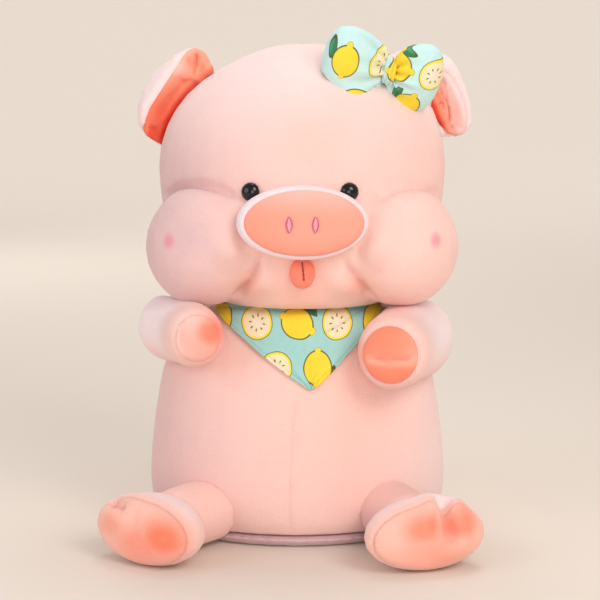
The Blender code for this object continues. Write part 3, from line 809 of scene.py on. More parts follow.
@built_once
def plush_material(name, base, tints=()):
    """Plush pile over a base colour, with painted tints as (painted value, colour) pairs."""
    material, n, shader = new_material(name, sheen=0.25, sheen_roughness=0.45, specular=0.15)
    shader.inputs["Sheen Tint"].default_value = (1, 0.93, 0.90, 1)
    place = n.place()
    colour = tuple(base)
    for painted, tint in tints:
        wobble = n.noise(place, 60.0, 2.0, 0.6)
        share = n.math("MULTIPLY", n.painted(painted), n.scaled(wobble, 0.35, 0.83), clamp=True)
        colour = n.mix(share, colour, tuple(tint))
    pile = n.group("plush pile", build_pile, Vector=place, Colour=colour, Tuft=sizes().pile,
                   Seam=n.painted("seam"))
    n.put(shader.inputs["Base Color"], pile["Colour"])
    n.put(shader.inputs["Roughness"], pile["Roughness"])
    bumped(n, shader, pile["Height"], 0.0007, 0.45)
    return material


def skin_material():
    c = colours()
    # The cool tint is painted shade, and the pale tint is pale pink and painted light
    return plush_material("plush_skin", c.skin, [
        ("cool", c.skin_painted_shade), ("pale", c.skin_pale_and_lit), ("warm", c.skin_warm), ("coral", c.coral),
        ("blush", c.blush)])


@built_once
def cloth_material(name, ground, repeat):
    """Printed cotton, read from the piece's own UV map in metres."""
    c = colours()
    material, n, shader = new_material(name, roughness=0.72, sheen=0.12, sheen_roughness=0.4, specular=0.25)
    place = n.add("ShaderNodeUVMap", uv_map="cloth").outputs["UV"]
    pattern = n.group("citrus print", build_print, Vector=place, Repeat=repeat, Ground=tuple(ground),
                      Fruit=tuple(c.fruit), Outline=tuple(c.outline), Leaf=tuple(c.leaf), Pith=tuple(c.pith))
    weave = n.group("cotton weave", build_weave, Vector=place, Colour=pattern["Colour"], Thread=0.00045)
    # Painted shade: darker where folds, gathers and wrinkles are marked, and along the hem
    dark = n.vector("MULTIPLY", weave["Colour"], (0.55, 0.55, 0.50))
    n.put(shader.inputs["Base Color"], n.mix(n.times(n.painted("seam"), 0.7), weave["Colour"], dark))
    bumped(n, shader, weave["Height"], 0.00025, 0.5)
    return material


@built_once
def thread_material(name, colour):
    """Embroidery thread: fine twisted strands with a soft gloss."""
    material, n, shader = new_material(name, roughness=0.45, sheen=0.2, specular=0.5)
    place = n.place()
    strands = n.noise(n.vector("MULTIPLY", place, (1.0, 1.0, 3.0)), 2600.0, 2.0, 0.6)
    tone = n.noise(place, 400.0, 1.0)
    lit = n.scaled(strands, 0.25, n.scaled(tone, 0.15, 0.78))
    n.put(shader.inputs["Base Color"], n.vector("SCALE", tuple(colour), scale=lit))
    bumped(n, shader, strands, 0.0002, 0.5)
    return material


@built_once
def eye_material(name, colour):
    """Black moulded plastic with a polished coat and faint fine scratches."""
    material, n, shader = new_material(name, roughness=0.08, coat=0.35, specular=0.3)
    place = n.place()
    wear = n.noise(place, 900.0, 3.0, 0.6)
    cloud = n.noise(place, 120.0, 1.0)
    n.put(shader.inputs["Base Color"], n.mix(cloud, tuple(colour), tuple(value * 2.2 for value in colour)))
    n.put(shader.inputs["Roughness"], n.scaled(wear, 0.06, 0.04))
    bumped(n, shader, wear, 0.00004, 0.25)
    return material


@built_once
def washer_material(name):
    """White nylon of the hidden lock washers."""
    material, n, shader = new_material(name, roughness=0.5, specular=0.4)
    flow = n.noise(n.place(), 300.0)
    n.put(shader.inputs["Base Color"], n.mix(flow, (0.74, 0.74, 0.72), (0.86, 0.86, 0.84)))
    n.put(shader.inputs["Roughness"], n.scaled(flow, 0.2, 0.4))
    bumped(n, shader, flow, 0.0001, 0.3)
    return material


# The studio

# Each lamp's place, the height that it points at, its size, power and tint
lamps = {
    "key": ((0.95, -1.55, 1.35), 0.22, 1.1, 16.4, (1.0, 0.965, 0.93)),
    "fill": ((-1.5, -1.1, 0.75), 0.22, 1.4, 9.0, (0.86, 0.91, 1.0)),
    "front": ((0.25, -2.3, 0.45), 0.20, 1.2, 9.0, (1.0, 0.97, 0.95)),
    "back": ((-0.9, 2.1, 1.2), 0.20, 1.2, 7.0, (1.0, 0.98, 0.96)),
    "top": ((0.2, 0.6, 1.9), 0.25, 1.2, 12.0, (1.0, 0.98, 0.96)),
}
floor_side, backdrop_height, sweep_radius = 8, 4, 1.5
world_colour, world_strength = (0.90, 0.87, 0.86, 1), 0.55
backdrop_glow = 0.45


def add_to_scene(name, data, place, turn):
    obj = bpy.data.objects.new(name, data)
    obj.location = place
    obj.rotation_euler = turn
    bpy.context.scene.collection.objects.link(obj)
    return obj


@built_once
def paper_material(name, colour):
    """Matt studio paper; far behind the toy, what the camera and reflections see of it glows a little."""
    material, n, shader = new_material(name, roughness=0.9, specular=0.1)
    place = n.place()
    grain = n.noise(place, 300.0, 3.0, 0.6)
    tone = n.scaled(grain, 0.03, 0.985)
    n.put(shader.inputs["Base Color"], n.vector("SCALE", tuple(colour), scale=tone))
    bumped(n, shader, grain, 0.0004, 0.2)
    apart = n.apart(place)
    behind = n.math("MAXIMUM", n.band(apart["Y"], 0.5, 3.2), n.band(apart["Z"], 0.05, 1.2))
    rays = n.add("ShaderNodeLightPath").outputs
    reflected = n.math("MAXIMUM", rays["Is Glossy Ray"], rays["Is Transmission Ray"])
    seen = n.math("MAXIMUM", rays["Is Camera Ray"], reflected)
    n.put(shader.inputs["Emission Color"], tuple(colour))
    n.put(shader.inputs["Emission Strength"], n.times(n.times(behind, seen), backdrop_glow))
    return material


def build_stage():
    scene = bpy.context.scene
    scene.view_settings.view_transform = "Standard"
    camera = bpy.data.cameras.new("camera")
    camera.lens = camera_lens
    camera.sensor_width = camera_sensor
    scene.camera = add_to_scene("camera", camera, camera_place, (math.pi / 2 - camera_down, 0, 0))

    deselect()
    bpy.ops.mesh.primitive_plane_add(size=floor_side, location=(0, 0, 0))
    floor = bpy.context.active_object
    floor.name = "studio_floor"
    bpy.ops.object.mode_set(mode="EDIT")
    bpy.ops.mesh.select_mode(type="EDGE")
    bpy.ops.mesh.select_all(action="DESELECT")
    bpy.ops.object.mode_set(mode="OBJECT")
    for edge in floor.data.edges:
        ends = [floor.data.vertices[index].co for index in edge.vertices]
        edge.select = all(end.y > floor_side / 2 - 0.1 for end in ends)
    bpy.ops.object.mode_set(mode="EDIT")
    bpy.ops.mesh.extrude_region_move(TRANSFORM_OT_translate={"value": (0, 0, backdrop_height)})
    bpy.ops.object.mode_set(mode="OBJECT")
    sweep = floor.modifiers.new("sweep", "BEVEL")
    sweep.width = sweep_radius
    sweep.segments = 12
    apply_modifiers(floor)
    for face in floor.data.polygons:
        face.use_smooth = True
    floor.data.materials.append(paper_material("studio_paper", colours().floor))

    for name, (place, aim_height, size, power, tint) in lamps.items():
        lamp = bpy.data.lights.new(name, "AREA")
        lamp.shape = "DISK"
        lamp.size = size
        lamp.energy = power
        lamp.color = tint
        aim = Vector((0, 0, aim_height)) - Vector(place)
        add_to_scene(name, lamp, place, aim.to_track_quat("-Z", "Y").to_euler())
    world = bpy.data.worlds.new("studio")
    scene.world = world
    world.use_nodes = True
    background = world.node_tree.nodes["Background"]
    background.inputs["Color"].default_value = world_colour
    background.inputs["Strength"].default_value = world_strength


# Body

def body_pins(points):
    """Holds the neck and the underside still while the body swells."""
    return np.maximum(ramp(points[:, 2], 0.195, 0.210), ramp(points[:, 2], 0.022, 0.012))


def build_body():
    body = skin_of("body_skin", ["body"], "body", body_pins)
    points = points_of(body)
    points[:, 2] += 0.0022 * ramp(points[:, 2], 0.024, 0.012)
    place_points(body, points)
    front_line = [(296, 396), (293, 430), (291, 470), (290, 505), (291, 538)]
    press_line(body, surface_of(body), front_line, *seams["body_front"])
    ring = slice_path(body, (0, 0, 0.1), (1, 0, 0))
    press_seam(body, [place for place in ring if place.y > 0.0], *seams["body_back"])
    points = points_of(body)
    x, z = points[:, 0], points[:, 2]
    # Painted shade: cool greyish pink low on the -X side and round the bottom; painted light: paler towards
    # the lit +X side
    mark(body, "cool", 0.38 * ramp(-x, 0.01, 0.13) * ramp(z, 0.23, 0.13) + 0.25 * ramp(z, 0.05, 0.0))
    mark(body, "pale", 0.45 * ramp(x, 0.03, 0.13))
    mark(body, "warm", 0.22 * spot(points, (0.055, -0.10, 0.115), (0.11, 0.11, 0.10)))
    mark(body, "warm", 0.15 * spot(points, (0.10, -0.06, 0.15), (0.07, 0.08, 0.06)))
    finish_piece(body, skin_material(), "torso", ["body"])

    base = skin_of("base_panel_skin", ["base_panel"], "base")
    press_seam(base, slice_path(base, (0, -0.005, 0.0095), (0, 0, 1)), *seams["base_rim"])
    base_finish = plush_material("plush_base", colours().base)
    finish_piece(base, base_finish, "torso", ["base_panel"])


# Head

# Where the cheeks and chin are fuller than their solids: the place beside the middle, the radii and the push
fuller = (
    ((0.054, -0.108, 0.278), (0.036, 0.060, 0.036), (0, -0.0105, 0)),
    ((0.040, -0.095, 0.243), (0.026, 0.060, 0.026), (0, -0.0070, 0)),
    ((0.082, -0.085, 0.303), (0.056, 0.060, 0.026), (0, -0.0045, 0.0055)),
)
# The creases below and above the cheeks: the photograph's pixels, depth, width and shade
cheek_creases = (
    ([(263, 254), (257, 268), (250, 281), (241, 292), (230, 300)], 0.0058, 0.0044, 0.50),
    ([(341, 255), (349, 269), (358, 281), (368, 293), (382, 303)], 0.0046, 0.0044, 0.36),
    ([(160, 197), (175, 187), (196, 184), (219, 188), (242, 198)], 0.0060, 0.0040, 0.28),
    ([(359, 200), (379, 197), (396, 189), (416, 187), (441, 194)], 0.0034, 0.0048, 0.12),
)
head_spots = (
    # Painted shade on the -X cheek
    ("cool", (186, 240), (0.050, 0.080, 0.050), 0.75, 1.0),
    ("blush", (169, 241), (0.0075, 0.013, 0.0105), 0.65, 1.3),
    ("blush", (436, 240), (0.0075, 0.013, 0.0105), 0.60, 1.3),
    ("warm", (250, 287), (0.026, 0.026, 0.026), 0.45, 1.0),
    ("warm", (360, 287), (0.026, 0.026, 0.026), 0.45, 1.0),
    ("warm", (303, 262), (0.030, 0.030, 0.030), 0.60, 1.0),
    ("warm", (303, 297), (0.045, 0.045, 0.045), 0.45, 1.0),
)


def build_head():
    solids = ["head", "cheek_left", "cheek_right"]
    head = skin_of("head_skin", solids, "head", lambda points: ramp(points[:, 2], 0.235, 0.223))
    points = points_of(head)
    for sign in (-1, 1):
        for (across, y, z), radii, push in fuller:
            share = spot(points, (head_middle.x + sign * across, y, z), radii, 1.3)
            points += share[:, None] * np.array(push)
    place_points(head, points)
    push_out(head, -0.0056 * spot(points, (-0.078, -0.01, 0.408), (0.095, 0.13, 0.085), 1.1))
    tree = surface_of(head)
    for pixels, depth, width, shade in cheek_creases:
        press_line(head, tree, pixels, depth, width, 0.0, shade, 0.0020)
    crown = slice_path(head, head_middle, (1, 0, 0))
    press_seam(head, [place for place in crown if place.y > -0.02 and place.z > 0.23], *seams["head_back"])
    points = points_of(head)
    x, z = points[:, 0], points[:, 2]
    # Painted light: the head's top is paler; painted shade: cool greyish pink low on the -X side
    mark(head, "pale", 0.50 * ramp(z, 0.33, 0.43))
    mark(head, "cool", 0.60 * ramp(-x, 0.01, 0.12) * ramp(z, 0.42, 0.32))
    mark(head, "warm", 0.30 * spot(points, (0.012, -0.125, 0.372), (0.060, 0.060, 0.050)))
    airbrush(head, tree, points, head_spots)
    finish_piece(head, skin_material(), "head", solids)


# Snout, nostrils, eyes and tongue

def build_snout():
    c = colours()
    wall = skin_of("snout_wall", ["snout_band", "snout_disc"], "snout")
    seam = Vector((head_middle.x, points_of(wall)[:, 1].min() + 0.0066, 0.2935))
    facing = Vector((0.030, -1.0, 0.03)).normalized()
    press_seam(wall, slice_path(wall, seam, facing, 120), *seams["snout_rim"])
    x, y, z = points_of(wall).T
    mark(wall, "warm", 0.30 * ramp(y, -0.118, -0.098))
    # Coral low on the snout is its airbrush, and coral towards -X is painted shade; the wall is paler at the
    # top
    mark(wall, "coral", 0.24 * ramp(z, 0.290, 0.262) + 0.25 * ramp(x, 0.01, -0.05))
    mark(wall, "pale", 0.50 * ramp(z, 0.298, 0.324))
    face = split_at(wall, seam, facing, "snout_face")
    wall_finish = plush_material("plush_snout_wall", c.snout_rim, [("warm", c.skin_warm)])
    finish_piece(wall, wall_finish, "head", ["snout_band"])
    face_finish = plush_material("plush_snout_face", c.snout_face, [("pale", c.skin), ("coral", c.coral)])
    finish_piece(face, face_finish, "head", ["snout_disc"])


def thread_run(bm, start, end, lift, radius, sides=6, rings=7):
    """One stitch: a thread that rises out of the cloth and goes back into it."""
    start, end, lift = Vector(start), Vector(end), Vector(lift)
    up = lift.normalized()
    side = (end - start).normalized().cross(up).normalized()
    loops = []
    for ring in range(rings):
        share = ring / (rings - 1)
        middle = start.lerp(end, share) + lift * math.sin(math.pi * share) ** 0.6
        size = radius * max(0.35, math.sin(math.pi * (0.12 + 0.76 * share)) ** 0.5)
        loops.append([bm.verts.new(middle + (side * math.cos(a) + up * math.sin(a)) * size)
                      for a in (2 * math.pi * i / sides for i in range(sides))])
    for below, above in zip(loops[:-1], loops[1:]):
        for i in range(sides):
            bm.faces.new((below[i], below[(i + 1) % sides], above[(i + 1) % sides], above[i]))
    bm.faces.new(list(reversed(loops[0])))
    bm.faces.new(loops[-1])


def finish_threads(name, bm, colour_name, colour, body, nodes=()):
    piece = closed_normals(new_object(name, bm))
    finish_piece(piece, thread_material(colour_name, colour), body, nodes)


def build_nostrils():
    """Each nostril is a leaf shape of level satin stitches inside a ring of outline stitches."""
    c, thread = colours(), sizes().thread
    satin_rows, outline_stitches, point = 15, 18, 1.7
    inside = 0.0009
    for side, sign in side_sign.items():
        low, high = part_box("nostril_" + side)
        middle = (low + high) / 2
        half_width, half_height = (high.x - low.x) / 2, (high.z - low.z) / 2
        y = low.y + inside
        satin = bmesh.new()
        for row in range(satin_rows):
            share = -1 + 2 * (row + 0.5) / satin_rows
            reach = half_width * 0.86 * (1 - abs(share) ** point)
            z = middle.z + share * half_height * 0.95
            tilt = 0.0006 * sign
            thread_run(satin, (middle.x - reach, y, z - tilt), (middle.x + reach, y, z + tilt),
                       (0, -0.0012, 0), thread * 0.62)
        finish_threads("nostril_satin_" + side, satin, "thread_nostril", c.nostril, "head",
                       ["nostril_" + side])
        rim = []
        for i in range(outline_stitches):
            angle = 2 * math.pi * i / outline_stitches
            share = math.sin(angle)
            across = math.copysign((1 - abs(share) ** point) * half_width, math.cos(angle))
            rim.append(Vector((middle.x + across, y, middle.z + share * (half_height + 0.0004))))
        outline = bmesh.new()
        for start, ahead in zip(rim, rim[1:] + rim[:1]):
            thread_run(outline, start, start.lerp(ahead, 1.08), (0, -0.0006, 0), thread * 0.48)
        finish_threads("nostril_outline_" + side, outline, "thread_outline", c.nostril_edge, "head")


def build_eyes():
    wider = 0.10
    for side in side_sign:
        eye = merged_copy("eye_dome_" + side, ["eye_" + side])
        remesh(eye, 0.0008)
        relax(eye, 4, 0.5, 0.52)
        subdivide(eye)
        points = points_of(eye)
        middle = (points.min(0) + points.max(0)) / 2
        ahead = ramp(points[:, 1], -0.095, -0.099)
        for axis in (0, 2):
            points[:, axis] = middle[axis] + (points[:, axis] - middle[axis]) * (1 + wider * ahead)
        place_points(eye, points)
        finish_piece(eye, eye_material("eye_plastic", colours().eye), "head", ["eye_" + side])
        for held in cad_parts["eye_washer_" + side].material_slots:
            held.material = washer_material("washer_nylon")


def build_tongue():
    c, narrower, stitch_count = colours(), 0.88, 5
    tongue = skin_of("tongue_skin", ["tongue"], "tongue")
    points = points_of(tongue)
    middle = (points[:, 0].min() + points[:, 0].max()) / 2
    points[:, 0] = middle + (points[:, 0] - middle) * narrower
    place_points(tongue, points)
    mark(tongue, "deep", 0.35 * ramp(points[:, 2], 0.252, 0.264))
    finish_piece(tongue, plush_material("plush_tongue", c.tongue, [("deep", c.coral_deep)]),
                 "tongue", ["tongue"])
    path = on_surface(surface_of(tongue), [(302.0, 262), (303.2, 272), (304, 281)], 1.0)
    if len(path) <= stitch_count:
        raise RuntimeError("the tongue isn't where its stitches are drawn")
    last = len(path) - 1
    stitches = bmesh.new()
    for i in range(stitch_count):
        start, end = path[int(i * last / stitch_count)], path[round((i + 1.0) * last / stitch_count)]
        thread_run(stitches, start, end, (0, -0.0008, 0), sizes().thread * 1.1)
    finish_threads("tongue_stitches", stitches, "thread_mouth", c.stitch, "tongue",
                   ["tongue_stitch"])


# Ears

# Where the photograph shows each ear's edge, its lining's edge, and its pleats with depth, width and shade
ear_edge = {
    "right": [(163, 144), (151, 140), (139.8, 128), (137.7, 110), (139.5, 99.6), (147.5, 83.5),
              (167.0, 62.5), (187.5, 47.7), (197.4, 47), (206, 53.3), (208.5, 68), (211, 82)],
    "left": [(436, 53), (446, 51), (453, 57), (461, 77), (468, 96), (472, 114), (469, 133), (461, 137),
             (447, 134), (441, 130)],
}
lining_edge = {
    "right": [(186.5, 53), (192, 49), (199, 48.5), (206.0, 54.0), (213, 68), (224, 88), (182, 156),
              (161, 143.3), (151, 139), (143.5, 129), (151.5, 107)],
    "left": [(436, 70), (446, 72), (456, 86), (463, 102), (466, 118), (464, 131), (457, 135), (447, 133),
             (430, 112)],
}
ear_pleats = {
    "right": [([(196.8, 50), (196.4, 55), (196, 61), (194.8, 71), (193.5, 79)], 0.0024, 0.0020, 0.50),
              ([(205, 60), (202.5, 66), (200.5, 71.6), (198.5, 78)], 0.0018, 0.0022, 0.35),
              ([(187, 55), (189, 60), (192, 67)], 0.0018, 0.0017, 0.45),
              ([(177.7, 73), (181, 79), (185.4, 87)], 0.0014, 0.0024, 0.20),
              ([(151, 130), (158, 127), (164, 124), (172, 114)], 0.0016, 0.0020, 0.35)],
    "left": [([(443, 77), (442.5, 88), (446, 100.5), (449, 118), (455, 132)], 0.0030, 0.0020, 0.50),
             ([(436, 108), (440, 104), (445, 101)], 0.0018, 0.0018, 0.40)],
}
ear_lean = math.radians(36)
ear_middle = (0.003, 0.006)
ear_ratio_least, ear_ratio_most = 0.66, 1.16
lining_thickness, lining_sink = 0.0019, 0.0010


def ear_frame(side):
    """The ear's root, and its directions along the head and outwards."""
    sign = side_sign[side]
    root = Vector((head_middle.x + sign * 0.108, 0.010, 0.387))
    along = Vector((-sign * math.sin(ear_lean), 0, math.cos(ear_lean)))
    outward = Vector((sign * math.cos(ear_lean), 0, math.sin(ear_lean)))
    return root, along, outward


def ear_flat_place(side, pixel):
    """Where a pixel of the photograph meets the ear's middle plane."""
    start, direction = pixel_ray(*pixel)
    return start + direction * ((ear_frame(side)[0].y - start.y) / direction.y)


def round_ear(lengthwise, reach):
    """Each place's direction from the ear's middle, and its distance."""
    lengthwise, reach = lengthwise - ear_middle[0], reach - ear_middle[1]
    return np.arctan2(reach, lengthwise), np.hypot(reach, lengthwise)


def fit_ear_edge(ear, side):
    """Draws the ear's outline out or in to where the photograph shows it; its hidden root stays."""
    root, along, outward = ear_frame(side)
    place = points_of(ear) - np.array(root)
    depth = place[:, 1]
    angle, radius = round_ear(place @ np.array(along), place @ np.array(outward))
    bins = np.linspace(-math.pi, math.pi, 49)
    middles = (bins[1:] + bins[:-1]) / 2
    own = [radius[(angle >= low) & (angle < high)].max(initial=0.01)
           for low, high in zip(bins[:-1], bins[1:])]
    wanted = [(-2.2, 1.0), (-1.57, 1.0), (-0.9, 1.0)]
    for pixel in ear_edge[side]:
        edge = ear_flat_place(side, pixel) - root
        towards, away = round_ear(edge.dot(along), edge.dot(outward))
        ratio = away / np.interp(towards, middles, own, period=2 * math.pi)
        wanted.append((float(towards), min(ear_ratio_most, max(ear_ratio_least, float(ratio)))))
    wanted.sort()
    ratios = np.interp(middles, *zip(*wanted), period=2 * math.pi)
    ratios = (np.roll(ratios, 1) + 2 * ratios + np.roll(ratios, -1)) / 4
    radius = radius * np.interp(angle, middles, ratios, period=2 * math.pi)
    lengthwise, reach = ear_middle[0] + radius * np.cos(angle), ear_middle[1] + radius * np.sin(angle)
    lengthwise = lengthwise - 0.7 * ramp(reach, 0.008, 0.0) * np.maximum(lengthwise - 0.034, 0)
    reach = reach - 0.0075 * ramp(reach, 0.016, 0.002) * (1 - 0.6 * ramp(lengthwise, 0.02, 0.04))
    flat = np.array(root) + lengthwise[:, None] * np.array(along) + reach[:, None] * np.array(outward)
    flat[:, 1] = root.y + depth
    place_points(ear, flat)


def inside_edge(points, corners):
    """How far each point is inside a convex outline drawn in the ear's plane, and that outline's planes."""
    middle = np.mean([np.array(corner) for corner in corners], axis=0)
    depth = np.full(len(points), np.inf)
    planes = []
    for start, end in zip(corners, corners[1:] + corners[:1]):
        outwards = (end - start).cross(Vector((0, 1, 0))).normalized()
        if outwards.dot(Vector(middle) - start) > 0:
            outwards = -outwards
        planes.append((start, outwards))
        depth = np.minimum(depth, (np.array(start) - points) @ np.array(outwards))
    return depth, planes


def cut_lining(ear, side, planes):
    """The lining: the front of the ear's own skin inside the outline, with a thickness."""
    lining = copy_object(ear, "ear_lining_skin_" + side)
    bm = bmesh.new()
    bm.from_mesh(lining.data)
    for place, outwards in planes:
        bmesh.ops.bisect_plane(bm, geom=bm.verts[:] + bm.edges[:] + bm.faces[:], plane_co=place,
                               plane_no=outwards, clear_outer=True)
    bm.normal_update()
    behind = [face for face in bm.faces if face.normal.y > -0.05]
    bmesh.ops.delete(bm, geom=behind, context="FACES")
    for step in range(8):
        places = {}
        for vertex in bm.verts:
            beside = [edge.other_vert(vertex).co for edge in vertex.link_edges if edge.is_boundary]
            if len(beside) == 2:
                places[vertex] = vertex.co * 0.5 + (beside[0] + beside[1]) * 0.25
        for vertex, place in places.items():
            vertex.co = place
    bm.to_mesh(lining.data)
    bm.free()
    largest_only(lining)
    push_out(lining, -lining_sink)
    thick = lining.modifiers.new("thickness", "SOLIDIFY")
    thick.thickness = lining_thickness
    thick.offset = 1.0
    apply_modifiers(lining)
    for held in ("pale", "cool"):
        lining.data.attributes.remove(lining.data.attributes[held])
    return closed_normals(lining)


def distance_to(tree, points):
    return np.array([tree.find_nearest(Vector(point))[3] for point in points])


def paint_lining(lining, side, head_tree):
    """The right lining is red in its folds and coral below; the left one turns pale beyond its fold line."""
    root, along, outward = ear_frame(side)
    points = points_of(lining)
    place = points - np.array(root)
    lengthwise, reach = place @ np.array(along), place @ np.array(outward)
    near = distance_to(head_tree, points)
    upper = ramp(lengthwise, -0.010, 0.045)
    if side == "right":
        mark(lining, "coral", 0.90 - 0.75 * ramp(lengthwise, -0.020, 0.030))
        mark(lining, "pale", 0.22 * ramp(reach, 0.018, 0.032) * upper)
        mark(lining, "pale", 0.55 * spot(points, ear_flat_place(side, (180, 67)), (0.014, 0.05, 0.014)))
        mark(lining, "deep", 0.10 * (1 - upper))
    else:
        fold_top, fold_low = (ear_flat_place(side, pixel) for pixel in ((443, 85), (452, 127)))
        lean = (fold_low.x - fold_top.x) / (fold_top.z - fold_low.z)
        beyond = points[:, 0] - fold_top.x - (fold_top.z - points[:, 2]) * lean
        mark(lining, "coral", 0.30 * ramp(beyond, 0.001, -0.004))
        mark(lining, "pale", 0.34 * ramp(beyond, -0.006, 0.001) + 0.24 * ramp(beyond, 0.0, 0.004)
             + 0.30 * ramp(reach, 0.026, 0.038))
    mark(lining, "deep", 0.90 * ramp(near, 0.0085, 0.0020) * (1 - 0.35 * upper))
    low_share = {"right": 0.62, "left": 0.15}[side]
    mark(lining, "deep", low_share * ramp(-lengthwise, 0.026, 0.032) * ramp(near, 0.018, 0.014))


def build_ears():
    c = colours()
    head_tree = surface_of(bpy.data.objects["head_skin"])
    lining_finish = plush_material("plush_ear_lining", c.coral_soft, [
        ("coral", c.coral), ("pale", c.skin_pale_and_lit), ("deep", c.coral_deep)])
    for side in side_sign:
        root, along, outward = ear_frame(side)
        ear = skin_of("ear_skin_" + side, ["ear_" + side], "ear")
        fit_ear_edge(ear, side)
        corners = [ear_flat_place(side, pixel) for pixel in lining_edge[side]]
        points = points_of(ear)
        inner, planes = inside_edge(points, corners)
        front = ramp(points[:, 1], root.y + 0.002, root.y - 0.004)
        points[:, 1] += 0.0085 * ramp(inner, 0.001, 0.013) * front
        points[:, 1] -= 0.0030 * bell(inner, -0.006, 0.005) * front
        place_points(ear, points)
        tree = surface_of(ear)
        hits = [tree.ray_cast(corner + Vector((0, -0.1, 0)), Vector((0, 1, 0)))[0] for corner in corners]
        press_seam(ear, [place for place in hits if place is not None], *seams["ear_rim"])
        for pixels, depth, width, shade in ear_pleats[side]:
            press_line(ear, surface_of(ear), pixels, depth * 1.3, width, 0.0, shade, 0.0013, step=2.0)
        mark(ear, "pale", 0.75)
        lengthwise = (points_of(ear) - np.array(root)) @ np.array(along)
        # Painted shade: cool greyish pink on the shell towards its root by the head
        mark(ear, "cool", 0.55 * ramp(-lengthwise, 0.005, 0.050))
        lining = cut_lining(ear, side, planes)
        # The shell steps back under the lining and beside the head, so that it doesn't poke through them
        points = points_of(ear)
        near = distance_to(head_tree, points)
        points[:, 1] += 0.0014 * np.maximum(ramp(inner, 0.0015, 0.0035), ramp(near, 0.008, 0.005)) * front
        place_points(ear, points)
        sewn = ("head", tuple(root - outward * 0.002), tuple(root + outward * 0.018))
        finish_piece(ear, skin_material(), "ear_" + side, ["ear_" + side], sewn)
        paint_lining(lining, side, head_tree)
        finish_piece(lining, lining_finish, "ear_" + side, ["ear_lining_" + side], sewn)


# Arms

arm_root = {"left": Vector((0.1140, 0.0020, 0.1785)), "right": Vector((-0.1165, 0.0050, 0.1875))}
arm_yaw = {"left": 12.5, "right": 12.0}
arm_pitch = {"left": 1.0, "right": 3.0}
pad_seam_at = 0.1435
# How each arm differs from its solid: how much thicker it is, and how far its shoulder and end move sideways
arm_wider = {"left": 1.16, "right": 1.10}
shoulder_out = {"left": 0.001, "right": 0.008}
wrist_in = {"left": 0.002, "right": 0.0}
# How strongly the underside of each arm is painted with shade
arm_painted_shade = {"left": 0.30, "right": 0.45}
arm_lines = {"left": [(369, 359), (384, 361), (400, 361), (416, 358)],
             "right": [(186, 322), (181, 331), (180, 341), (184, 350)]}
arm_spots = {
    # The first spot, on the arm's inner side, is coral airbrush and partly painted shade
    "left": (("coral", (359, 354), (0.017, 0.040, 0.024), 0.42, 1.2),
             ("coral", (392, 309), (0.024, 0.030, 0.010), 0.36, 1.2)),
    "right": (("coral", (212, 333), (0.024, 0.050, 0.022), 0.85, 1.2),
              ("coral", (207, 342), (0.038, 0.060, 0.032), 0.42, 1.2)),
}


def arm_run(side):
    """The arm's direction."""
    yaw, pitch = math.radians(arm_yaw[side]), math.radians(arm_pitch[side])
    run = Vector((-side_sign[side] * math.sin(yaw), -math.cos(yaw) * math.cos(pitch), math.sin(pitch)))
    return run.normalized()


def paint_left_pad(pad, root, line):
    """The coral pad: deeper above on its inner side and below its crease, paler outside, and a painted
    highlight along the crease.
    """
    points = points_of(pad)
    x, z = points[:, 0] - root.x, points[:, 2] - root.z
    mark(pad, "coral", 0.04 + 0.60 * ramp(z, -0.016, 0.014) * ramp(x, 0.012, -0.033))
    mark(pad, "coral", 0.62 * ramp(z, -0.003, -0.011))
    mark(pad, "pale", 0.30 * ramp(x, -0.034, -0.014) * ramp(z, -0.012, 0.0))
    # Painted highlight along the crease
    mark(pad, "pale", 0.55 * bell(path_distance(points, line)[0], 0.0016, 0.0016))


def build_arms():
    c = colours()
    for side, sign in side_sign.items():
        root, run = arm_root[side], arm_run(side)
        seam = root + run * pad_seam_at
        arm = skin_of("arm_skin_" + side, ["arm_" + side, "paw_pad_" + side], "arm")
        points = points_of(arm)
        along = (points - np.array(root)) @ np.array(run)
        axis = np.array(root) + along[:, None] * np.array(run)
        points = axis + (points - axis) * arm_wider[side]
        points[:, 0] += sign * shoulder_out[side] * ramp(along, 0.100, 0.050)
        points[:, 0] -= wrist_in[side] * ramp(along, 0.07, 0.12)
        place_points(arm, points)
        z = points[:, 2] - root.z
        # Painted shade under the arm, and painted light on its top as far as the pad
        mark(arm, "cool", arm_painted_shade[side] * ramp(z, 0.0, -0.04))
        mark(arm, "pale", 0.95 * ramp(z, -0.034, 0.006) * ramp(along, 0.135, 0.085))
        tree = surface_of(arm)
        airbrush(arm, tree, points, arm_spots[side])
        line = press_line(arm, tree, arm_lines[side], *seams["arm_" + side])
        press_seam(arm, slice_path(arm, seam - run * 0.0006, run, 48), *seams["pad_rim"])
        pad = split_at(arm, seam, run, "paw_pad_skin_" + side)
        finish_piece(arm, skin_material(), "arm_" + side, ["arm_" + side])
        pad_finish = skin_material()
        if side == "left":
            paint_left_pad(pad, root, line)
            pad_finish = plush_material("plush_pad", c.coral_soft, [
                ("pale", c.skin), ("coral", c.coral), ("deep", c.coral_deep)])
        finish_piece(pad, pad_finish, "arm_" + side, ["paw_pad_" + side])


# Legs and feet

hips = {"left": Vector((0.0740, -0.0730, 0.0315)), "right": Vector((-0.0640, -0.0730, 0.0315))}
leg_yaw = {"left": 20, "right": 38}
foot_at, foot_height, sole_seam_at = 0.070, 0.0297, 0.043
